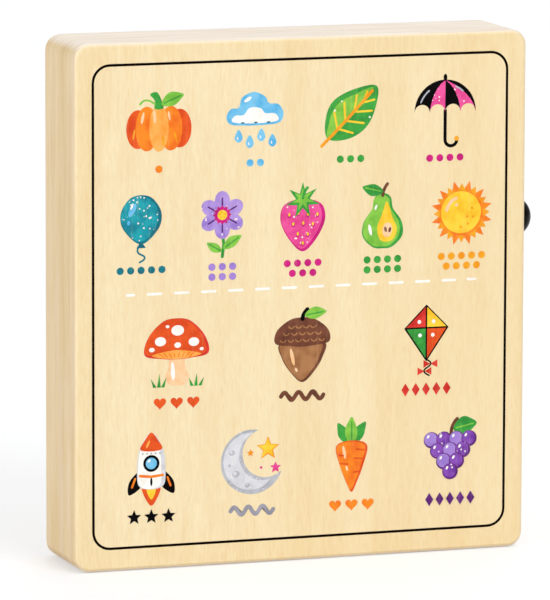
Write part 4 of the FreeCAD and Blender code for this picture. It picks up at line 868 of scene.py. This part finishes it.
def acorn():
    nut = mirrored([(-8.4, 2), (-8, -4.4), (-3.8, -10.6), (0, -13.4)])
    cap = mirrored([(-10.8, 1.8), (-10.2, 6.6), (-5, 10.6), (0, 11.4)]) + [(5, 0.6), (0, 0.2), (-5, 0.6)]
    scales = []
    for z, count, pitch in ((2.6, 6, 3.1), (5.2, 5, 3.2), (7.8, 4, 2.9)):
        scales += [band(arc(x, z + 0.7, 1.15, 200, 340, 6), 0.5) for x in row_of(count, pitch)]
    return [
        ("brown", curve(nut)),
        ("tan", shrunk(nut, 0.9, 0.94, -0.5)),
        ("peach", oval(-4, -3.6, 1.4, 6.8, 12, 16), oval(-2.4, -8.6, 0.9, 1.8, 24, 12)),
        ("brown", curve(cap)),
        ("tan", *scales),
        ("coal", band(bend((0, 10.8), (0.2, 12.8), (2, 14.4)), 1.6)),
        ("light_green", leaflet(0.9, 12.2, 8.8, 5, 8)),
        ("green", vein(0.9, 12.2, 8.8, 8)),
    ]


def kite():
    tail = bend((0, -7.2), (3.4, -8.6), (0.6, -10.2)) + bend((0.2, -10.4), (-2.4, -11.8), (1.2, -13.4))
    bows = []
    for x, z in ((1.7, -8.9), (-0.7, -11.7)):
        bows += pair(lambda side: [(x + side * 0.1, z), (x + side * 2.8, z + 1.5), (x + side * 2.8, z - 1.5)])
    return [
        ("coal", [(0, 14), (-9, 5), (0, -8), (9, 5)]),
        ("red", [(-0.3, 13), (-8.1, 5.3), (-0.3, 5.3)]),
        ("yellow", [(0.3, 13), (8.1, 5.3), (0.3, 5.3)]),
        ("green", [(-8, 4.7), (-0.3, -6.6), (-0.3, 4.7)]),
        ("deep_orange", [(8, 4.7), (0.3, -6.6), (0.3, 4.7)]),
        ("white", *[dot(x, z, 1.5, 14) for x, z in ((-2.9, 7.4), (2.9, 7.4), (-2.6, 2.2), (2.6, 2.2))]),
        ("coal", band(tail, 0.6)),
        ("red", *bows),
    ]


def rocket():
    hull = mirrored([(0, 13.4), (-4.4, 7.6), (-5.6, 0), (-4.4, -7.4)])

    def fin(side):
        return curve([(side * 3.6, -0.6), (side * 8.6, -5), (side * 8.8, -10.2), (side * 3.6, -6.6)])

    return [
        ("deep_orange", curve(mirrored([(0, -14.6), (-3, -10.4), (-3.2, -7)]))),
        ("yellow", curve(mirrored([(0, -12.2), (-1.6, -9.6), (-1.6, -7.4)]))),
        ("coal", *pair(fin)),
        ("orange", *pair(lambda side: band([(side * 6.4, -4), (side * 7.6, -7.2)], 0.8))),
        ("light_grey", curve(hull)),
        ("white", shrunk(hull, 0.82, 0.97, -0.6)),
        ("deep_orange", curve(mirrored([(0, 13.4), (-2.8, 10.2), (-4.3, 7), (0, 6.2)]))),
        ("light_orange", oval(-1.3, 9, 0.9, 3.2, -24, 12)),
        ("coal", dot(0, 1.6, 6.4), oval(0, -5.4, 0.9, 3.4, 0, 12)),
        ("sky", dot(0, 1.6, 4.4)),
        ("white", oval(-0.9, 2.6, 1.5, 0.9, 40, 12)),
        ("orange", band([(-4.5, -3), (0, -3.5), (4.5, -3)], 1)),
        ("grey", *[dot(x, 5.4, 0.7, 8) for x in row_of(5, 1.7)]),
    ]


def moon():
    craters = ((-8, 3.8, 2.4), (-6.4, -4.4, 3), (-9, -1, 1.3), (-1.8, -8.9, 2))
    return [
        ("grey", arc(0, 0, 12.4, 78, 341, 34) + arc(5.6, 3.2, 9.4, 310, 110, 26)),
        ("light_grey", arc(-0.4, 0.3, 11, 96, 300, 28) + arc(4.6, 2.4, 9.7, 286, 116, 22)),
        ("grey", *[oval(x, z, wide, wide * 0.86, 20, 18) for x, z, wide in craters]),
        ("light_grey", dot(-8.3, 4.1, 1.2, 12), dot(-6.8, -4.1, 1.5, 12)),
        ("gold", star(6.4, 4.8, 5, 4.8, 2.1), star(-0.6, 3.4, 5, 1.5, 0.7)),
        ("yellow", star(6.3, 4.9, 5, 3.8, 1.7)),
        ("pink", star(9.4, -2.6, 5, 2.3, 1.1), dot(3.6, -2.4, 1.1, 10)),
    ]


def carrot():
    root = mirrored([(-6.4, 3.4), (-3, 5.8)]) + mirrored([(4.4, -4.4), (1.8, -10.8), (0, -13.8)])
    rings = (
        ((2, 2.6), (5, 2.2)), ((-4.6, -2.6), (-1.6, -3)), ((0.8, -6.2), (3, -6)),
        ((-4.9, 0.6), (-3.4, 0.4)), ((1, -0.8), (4.2, -1.1)),
    )
    return [
        ("green", leaflet(-0.2, 4.4, 10.2, 5, 122), leaflet(0.2, 4.4, 10.2, 5, 58)),
        ("light_green", leaflet(0, 4, 11.2, 5.4, 90)),
        ("green", vein(0, 4, 11.2, 90)),
        ("deep_orange", curve(root)),
        ("orange", shrunk(root, 0.9, 0.94, -0.4)),
        ("peach", oval(-3, 1.6, 1.3, 5.2, 10, 14), oval(-1.9, -4.6, 0.9, 2.2, 14, 12)),
        ("deep_orange", *[band(ends, 0.7) for ends in rings]),
    ]


def grapes():
    shapes = [
        ("brown", band(bend((0.4, 6), (0.2, 9.8), (2.8, 12.2)), 1.4)),
        ("green", leaflet(1.2, 8.4, 9.8, 7.4, 12)),
        ("light_green", vein(1.2, 8.4, 9.8, 12)),
    ]
    for row, (z, count) in enumerate(((4.4, 4), (0.2, 3), (-4, 2), (-8, 1))):
        for index, x in enumerate(row_of(count, 5.1)):
            skin = "purple" if (row + index) % 2 else "lavender_plain"
            shapes += [
                ("dark_purple", dot(x, z, 6.3, 24)),
                (skin, dot(x - 0.25, z + 0.3, 5.3, 24)),
                ("white", oval(x - 1.3, z + 1.4, 0.9, 1.5, -30, 10)),
            ]
    return shapes


# Where each motif stands: millimetres across from the middle and up from the bottom,
# and the marks under it: so many counting dots, or a row of small figures

PICTURES = (
    ("pumpkin", pumpkin, -57, 168.5, 1, "orange"),
    ("rain_cloud", rain_cloud, -19, 169.5, 2, "sky"),
    ("leaf", leaf, 19, 169.5, 3, "green"),
    ("umbrella", umbrella, 57, 168.5, 4, "magenta"),
    ("balloon", balloon, -64, 130.6, 5, "dark_teal"),
    ("flower", flower, -32, 130.6, 6, "lavender_plain"),
    ("strawberry", strawberry, 0, 130.6, 7, "magenta"),
    ("pear", pear, 32, 130.6, 8, "green"),
    ("sun", sun, 64, 130.6, 9, "gold"),
    ("mushroom", mushroom, -50, 82, "hearts", "deep_orange"),
    ("acorn", acorn, 0, 82, "wave", "brown"),
    ("kite", kite, 50, 82, "diamonds", "red"),
    ("rocket", rocket, -60, 39, "stars", "coal"),
    ("moon", moon, -20, 39, "wave", "slate"),
    ("carrot", carrot, 20, 39, "hearts", "orange"),
    ("grapes", grapes, 60, 39, "diamonds", "dark_purple"),
)


def caption_marks(kind, ink_name):
    """Counting dots under the upper motifs, and a row of small figures under the lower ones."""
    shapes = []
    if kind == "wave":
        steps = 40
        crest = []
        for index in range(steps + 1):
            height = 1.5 * math.sin(6 * math.pi * index / steps) - 18.6
            crest.append((17 * index / steps - 8.5, height))
        shapes.append(band(crest, 1.6))
    elif kind == "hearts":
        shapes += [heart(x, -18.6, 4.9) for x in row_of(3, 6.6)]
    elif kind == "stars":
        shapes += [star(x, -18.8, 5, 2.9, 1.3) for x in row_of(3, 6.8)]
    elif kind == "diamonds":
        shapes += [star(x, -18.6, 2, 2.5, 1.6) for x in row_of(5, 4.2)]
    else:
        rows = [kind] if kind <= 5 else [(kind + 1) // 2, kind // 2]
        for row, count in enumerate(rows):
            shapes += [dot(x, -16.4 - 3.8 * row, 2.8, 18) for x in row_of(count, 4.1)]
    return [(ink_name, *shapes)]


def print_motifs(inks):
    for name, draw, x, z, marks, mark_ink in PICTURES:
        shapes = []
        for layer, (ink_name, *outlines) in enumerate(draw() + caption_marks(marks, mark_ink)):
            lift = INK_LIFT + LAYER_LIFT * layer
            for outline in outlines:
                points = [(x + across, z + up) for across, up in outline]
                shapes.append(flat_shape(points, onto_cover, lift, inks[ink_name]))
        join_prints(shapes, f"print_{name}")


def print_border(inks):
    outline = rounded(PRINT_X, PRINT_Z, PRINT_WIDE + LINE, PRINT_TALL + LINE, PRINT_CORNER + LINE / 2)
    join_prints([flat_shape(outline, onto_cover, INK_LIFT, inks["line_black"], LINE)], "print_border")


def print_dashes(inks):
    """A row of white dashes across the middle, with a short one at each end."""
    height = BOARD_TOP - 95.0
    pitch = 10.7
    count = 12
    left = -70.0
    first = left + 8.2
    last = first + pitch * count
    spans = [(left, left + 3.7)]
    spans += [(first + pitch * index, first + pitch * index + 6.2) for index in range(count)]
    spans.append((last - 0.4, last + 3.6))
    dashes = []
    for low, high in spans:
        outline = band([(low + 0.5, height), (high - 0.5, height)], 1.0)
        dashes.append(flat_shape(outline, onto_cover, INK_LIFT, inks["white"]))
    join_prints(dashes, "print_dashes")


def middle_of(node):
    """The middle of a node on the play side: millimetres across, as seen there, and up."""
    low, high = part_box(node)
    return -(low.x + high.x) / 2 / MM, (low.z + high.z) / 2 / MM


def print_play_side(inks):
    """The play panel's trim: a border line, rings, dial ticks and plain marks by the switches."""
    marks = []

    def add(ink_name, outline, line=None):
        marks.append(flat_shape(outline, onto_panel, INK_LIFT, inks[ink_name], line))

    x, z = middle_of("play_panel")
    low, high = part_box("play_panel")
    inset = 10.5
    wide = (high.x - low.x) / MM - 2 * inset
    tall = (high.z - low.z) / MM - 2 * inset
    add("line_black", rounded(x, z, wide, tall, 6), 0.6)
    for number, ink_name in ((1, "red"), (2, "green")):
        x, z = middle_of(f"push_switch_{number}")
        add(ink_name, dot(x, z, 26, 60), 3.2)
    for number, ink_name in ((1, "sky"), (2, "orange"), (3, "lavender_plain")):
        x, z = middle_of(f"toggle_switch_{number}")
        add(ink_name, dot(x, z, 23.4, 60), 5.4)
        add(ink_name, [(x - 2.0, z + 13.6), (x + 2.0, z + 13.6), (x, z + 16.6)])
    for number, ink_name in ((1, "dark_teal"), (2, "magenta")):
        x, z = middle_of(f"rocker_switch_{number}")
        add(ink_name, rounded(x, z, 21, 27.5, 4), 3.0)
    x, z = middle_of("slide_switch")
    add("gold", rounded(x, z, 43, 18, 4), 3.0)
    x, z = middle_of("dimmer_knob")
    ring = 17.6
    for index in range(11):
        angle = math.radians(230 - 28 * index)
        ends = [polar(x, z, reach, angle) for reach in (ring, ring + 1.6 + 0.16 * index)]
        add("gold", band(ends, 0.7 + 0.09 * index))
    join_prints(marks, "trim_marks")


def rocker_marks(inks):
    """A bar and a ring on the two ends of each rocker, for on and off."""
    bar = rounded(0, 0, 0.9, 3.6, 0.3)
    ring = dot(0, 0, 3.4)
    from_middle = 4.1 * MM
    for number in (1, 2):
        rocker = frame["nodes"][f"rocker_{number}"]
        low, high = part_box(f"rocker_{number}")
        middle = (low + high) / 2
        marks = []
        for up, outline, line in ((from_middle, bar, None), (-from_middle, ring, 0.75)):
            start = Vector((middle.x, high.y + 0.01, middle.z + up))
            _, place, normal, _ = rocker.ray_cast(start, Vector((0, -1, 0)))
            rise = Vector((-1, 0, 0)).cross(normal)

            def onto_rocker(x, z, lift):
                return place + Vector((-x, 0, 0)) * MM + rise * (z * MM) + normal * (lift * MM)

            marks.append(flat_shape(outline, onto_rocker, INK_LIFT, inks["white"], line))
        join_prints(marks, f"rocker_marks_{number}", f"rocker_{number}")


# Small pieces


def lens_post(place, radius, hollow):
    """A little round post along Y, hollowed into a cup if it is one."""
    fresh()
    bpy.ops.mesh.primitive_cylinder_add(
        vertices=20,
        radius=radius,
        depth=3.5 * MM,
        location=place,
        rotation=(-math.pi / 2, 0, 0),
    )
    post = bpy.context.object
    bpy.ops.object.mode_set(mode="EDIT")
    bpy.ops.mesh.select_all(action="DESELECT")
    bpy.ops.object.mode_set(mode="OBJECT")
    top = max(post.data.polygons, key=lambda face: (post.matrix_world @ face.center).y)
    top.select = True
    bpy.ops.object.mode_set(mode="EDIT")
    if hollow:
        bpy.ops.mesh.inset(thickness=0.2 * MM)
        bpy.ops.mesh.extrude_region_move(TRANSFORM_OT_translate={"value": (0, -0.6 * MM, 0)})
        bpy.ops.transform.resize(value=(0.5, 1, 0.5))
    face_outward()
    return post


def light_cups(material):
    """The little metal cup and post inside each clear lens, modelled once and copied."""
    boxes = [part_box(f"light_{number}") for number in range(1, 9)]
    middles = [Vector(((low.x + high.x) / 2, PLAY_Y - 1.2 * MM, (low.z + high.z) / 2)) for low, high in boxes]
    cup = lens_post(middles[0] + Vector((0.7 * MM, 0, 0)), 1.1 * MM, True)
    post = lens_post(middles[0] - Vector((1.4 * MM, 0, 0)), 0.4 * MM, False)
    first = join([cup, post], "cup_and_post")
    others = [copy_of(first, middle - middles[0]) for middle in middles[1:]]
    dress(join([first, *others], "light_cups"), material)


def wound_wire(wide, tall):
    """A coil of round wire with closed ends, drawn upright along Z."""
    wire = 0.7 * MM
    turns = 6
    fresh()
    bpy.ops.mesh.primitive_circle_add(
        vertices=10,
        radius=wire / 2,
        location=((wide - wire) / 2, 0, wire / 2),
        rotation=(math.pi / 2, 0, 0),
    )
    coil = settle(bpy.context.object, "upright_coil")
    winding = coil.modifiers.new("winding", "SCREW")
    winding.screw_offset = (tall - wire) / turns
    winding.iterations = turns
    winding.steps = 24
    winding.render_steps = 24
    finish_modifiers(coil)
    bpy.ops.object.mode_set(mode="EDIT")
    bpy.ops.mesh.select_all(action="SELECT")
    bpy.ops.mesh.remove_doubles(threshold=0.01 * MM)
    bpy.ops.mesh.select_all(action="DESELECT")
    bpy.ops.mesh.select_non_manifold()
    bpy.ops.mesh.edge_face_add()
    face_outward()
    bpy.ops.object.shade_smooth()
    return coil


def coil_springs(rows, turn, material):
    """Coils in the places of equal springs, wound once and copied.

    Each row is a spring's node and the joint of the button that it lifts. The turn
    stands a coil drawn along Z in line with that button.
    """
    low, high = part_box(rows[0][0])
    size = turn.transposed() @ (high - low)
    tall = abs(size.z)
    axis = turn @ Vector((0, 0, 1))
    first = wound_wire(min(abs(size.x), abs(size.y)), tall)
    coils = [first] + [copy_of(first) for _ in rows[1:]]
    for coil, (node, joint) in zip(coils, rows):
        low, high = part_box(node)
        foot = (low + high) / 2 - axis * tall / 2
        coil.matrix_world = turn.to_4x4()
        coil.location = foot
        settle(coil, node.replace("spring", "coil"))
        dress(coil, material)
        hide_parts(node)
        travel = next(row["range_m"][1] for row in frame["joints"] if row["name"] == joint)
        1 - travel / tall
        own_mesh(coil)


def knob_pointer(material):
    """A white strip let into the groove on the dimmer knob."""
    low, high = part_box("dimmer_knob")
    middle = (low + high) / 2
    rim = (high.x - low.x) / 2
    fresh()
    bpy.ops.mesh.primitive_cube_add(size=1)
    strip = bpy.context.object
    strip.scale = (1.2 * MM, 0.55 * MM, 8.6 * MM)
    strip.location = (middle.x, high.y - 0.32 * MM, middle.z + rim - 7 * MM)
    settle(strip, "knob_pointer")
    edge = strip.modifiers.new("edge", "BEVEL")
    edge.width = 0.2 * MM
    edge.segments = 3
    finish_modifiers(strip)
    dress(strip, material, "dimmer_knob")


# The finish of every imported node

LENS_COLOURS = {
    "red": "F0352B",
    "orange": "FF8A1F",
    "yellow": "FFD52E",
    "green": "3CC64A",
    "cyan": "38C8E8",
    "blue": "2F63F0",
    "violet": "9A4BE8",
    "white": "F4F6FA",
}


def dress_nodes():
    zinc = metal("zinc_plate", "A9AAAE", 0.32)
    nickel = metal("bright_nickel", "B4B2AC", 0.2, 1400, 0.08)
    wire = metal("spring_wire", "A9AAB0", 0.3)
    black = plastic("satin_black", "1C1C1E", 0.42, 0.00002)
    case = case_wood()
    inner_case = ("1B1B1D", 0.0, 0.45)
    finishes = {
        "printed_cover": cover_wood(),
        "rear_frame": case,
        "front_frame": case,
        "play_panel": panel_wood(),
        "dowel_pins": beech_dowel(),
        "circuit_board": circuit_green(),
        "control_chip": black,
        "board_spacers": metal("turned_brass", "D9B56A", 0.26, (700, 2400, 700)),
        "light_rings": nickel,
        "toggle_nuts": nickel,
        "push_nuts": black,
        "dimmer": metal("dimmer_can", "B9B7B0", 0.34),
        "dimmer_nut": nickel,
        "dimmer_shaft": metal("shaft_metal", "C4C4C6", 0.28, (1800, 200, 1800)),
        "dimmer_knob": plastic("knob_black", "101012", 0.36, 0.00002, shine=0.3),
        "slide_switch": two_part("slide_case", PLAY_Y, inner_case, ("A9AAAE", 1.0, 0.3)),
        "slide_handle": plastic("slide_black", "1A1A1C", 0.4, 0.00003),
        "power_button": plastic("gloss_black", "020202", 0.14, 0.000004, 700, shine=0.06),
        "power_housing": plastic("grey_case", "8B8E91", 0.5, 0.00002),
        "power_switch": black,
        "power_spring": wire,
        "battery_box": plastic("battery_case", "2A2C2F", 0.5, 0.00003),
        "battery_1": battery_film(),
        "battery_2": battery_film(),
        "battery_springs": wire,
        "battery_bridge": nickel,
        "battery_hatch": plastic("hatch_tan", "D8B98A", 0.5, 0.00005, 900),
        "solder_tabs": metal("tinned_brass", "CFCBBE", 0.35),
        "wiring_harness": lead_vinyl("lead_vinyl", 4.8),
        "battery_leads": lead_vinyl("power_leads"),
        "rocker_1": plastic("rocker_teal", "129AA6", 0.26, coat=0.2),
        "rocker_2": plastic("rocker_pink", "E2468F", 0.26, coat=0.2),
        "push_button_1": plastic("cap_red", "D42A22", 0.2, coat=0.15, shine=0.3),
        "push_button_2": plastic("cap_green", "1F9A48", 0.2, coat=0.15, shine=0.3),
    }
    for screws in ("panel_screws", "board_screws", "slide_screws", "power_screws", "hatch_screws"):
        finishes[screws] = zinc
    toggle = two_part("toggle_case", PLAY_Y - 3.9 * MM, ("232427", 0.0, 0.45), ("B4B2AC", 1.0, 0.2))
    bat = metal("bat_lever", "C6C4BE", 0.12, 1500, 0.06)
    for number in (1, 2, 3):
        finishes[f"toggle_switch_{number}"] = toggle
        finishes[f"toggle_lever_{number}"] = bat
    rocker_case = plastic("rocker_case", "161618", 0.34, 0.00002)
    push_case = two_part("push_case", PLAY_Y, inner_case, ("B4B2AC", 1.0, 0.18))
    for number in (1, 2):
        finishes[f"rocker_switch_{number}"] = rocker_case
        finishes[f"push_switch_{number}"] = push_case
        finishes[f"push_spring_{number}"] = wire
    for number, (name, code) in enumerate(LENS_COLOURS.items(), start=1):
        finishes[f"light_{number}"] = lens(f"lens_{name}", code)
    for name, node in frame["nodes"].items():
        node.data.materials.clear()
        node.data.materials.append(finishes[name])
    return nickel, wire


# Floor, light and camera


def white_ground():
    """A pale floor that keeps the shadows and shows as white."""
    ground = Finish("white_ground")
    tone = ground.mix(ground.noise((3, 3, 3)), "F9FAFC", "F3F5F9")
    ground.set(Base_Color=tone, Roughness=0.8)
    glow_share = 0.3
    glow_strength = 1.38
    seen = 0.0
    for ray in ("Is Camera Ray", "Is Glossy Ray", "Is Transmission Ray"):
        seen = ground.maths("MAXIMUM", ground.node("ShaderNodeLightPath", out=ray), seen)
    glow = ground.node("ShaderNodeEmission", values={"Color": (1, 1, 1, 1), "Strength": glow_strength})
    matt = Wire(ground, ground.shader.outputs[0])
    surface = ground.node("ShaderNodeMixShader", values={0: seen * glow_share, 1: matt, 2: glow})
    ground.feed(ground.tree.nodes["Material Output"].inputs["Surface"], surface)
    return ground.material


def make_floor():
    """A floor a hair below the bottom edge, so that the two faces don't flicker."""
    fresh()
    bpy.ops.mesh.primitive_plane_add(size=16, location=(0, 0, -0.2 * MM))
    floor = settle(bpy.context.object, "floor")
    floor.data.materials.append(white_ground())


def make_world():
    """Dim white light from all round, which the camera sees as full white."""
    world = bpy.data.worlds.new("studio")
    world.use_nodes = True
    tree = world.node_tree
    light = tree.nodes["Background"]
    seen = tree.nodes.new("ShaderNodeBackground")
    for background, strength in ((light, 0.5), (seen, 1.0)):
        background.inputs["Color"].default_value = (1.0, 1.0, 1.0, 1.0)
        background.inputs["Strength"].default_value = strength
    path = tree.nodes.new("ShaderNodeLightPath")
    mix = tree.nodes.new("ShaderNodeMixShader")
    tree.links.new(path.outputs["Is Camera Ray"], mix.inputs[0])
    tree.links.new(light.outputs[0], mix.inputs[1])
    tree.links.new(seen.outputs[0], mix.inputs[2])
    tree.links.new(mix.outputs[0], tree.nodes["World Output"].inputs["Surface"])
    bpy.context.scene.world = world


def soft_box(name, place, size, power):
    """A square soft light aimed at the middle of the board."""
    bpy.ops.object.light_add(type="AREA", location=place)
    lamp = bpy.context.object
    lamp.name = name
    lamp.data.size = size
    lamp.data.energy = power
    aim = Vector((0, 0, 0.1)) - Vector(place)
    lamp.rotation_euler = aim.to_track_quat("-Z", "Y").to_euler()


def make_lights():
    soft_box("key", (1.5, -5.2, 4.2), 3.4, 155)
    soft_box("overhead", (0.6, -0.6, 5.6), 4.0, 38)
    soft_box("left_fill", (-5.1, -2.3, 1.4), 2.6, 96)
    soft_box("rear_fill", (2.4, 4.8, 4.2), 4.0, 85)


def make_camera():
    """The photograph's viewpoint, from the slant of its edges and its printed lines."""
    yaw = math.radians(18.88)
    pitch = math.radians(8.66)
    roll = math.radians(0.175)
    distance = 2.302
    aside = 0.0104
    focal_length = 6090
    picture_height = 600
    sensor = 36
    forward = Vector((math.sin(yaw) * math.cos(pitch), math.cos(yaw) * math.cos(pitch), -math.sin(pitch)))
    right = Vector((math.cos(yaw), -math.sin(yaw), 0))
    face = Vector((0, COVER_Y, 0.1))
    bpy.ops.object.camera_add(location=face - forward * distance - right * aside)
    camera = bpy.context.object
    camera.rotation_euler = forward.to_track_quat("-Z", "Y").to_euler()
    camera.rotation_euler.rotate_axis("Z", roll)
    camera.data.sensor_width = sensor
    camera.data.lens = focal_length * sensor / picture_height
    camera.data.clip_start = 0.05
    camera.data.clip_end = 60
    bpy.context.scene.camera = camera


def make_scene():
    inks = make_inks()
    nickel, wire = dress_nodes()
    print_border(inks)
    print_dashes(inks)
    print_motifs(inks)
    print_play_side(inks)
    rocker_marks(inks)
    light_cups(nickel)
    knob_pointer(plastic("pointer_white", "F6F4EE", 0.4))
    toward_play_side = Matrix.Rotation(-math.pi / 2, 3, "X")
    toward_right_edge = Matrix.Rotation(math.pi / 2, 3, "Y")
    coil_springs((("push_spring_1", "push_1"), ("push_spring_2", "push_2")), toward_play_side, wire)
    coil_springs((("power_spring", "power_press"),), toward_right_edge, wire)
    make_floor()
    make_world()
    make_lights()
    make_camera()
    bpy.context.scene.view_settings.view_transform = "Standard"


make_scene()
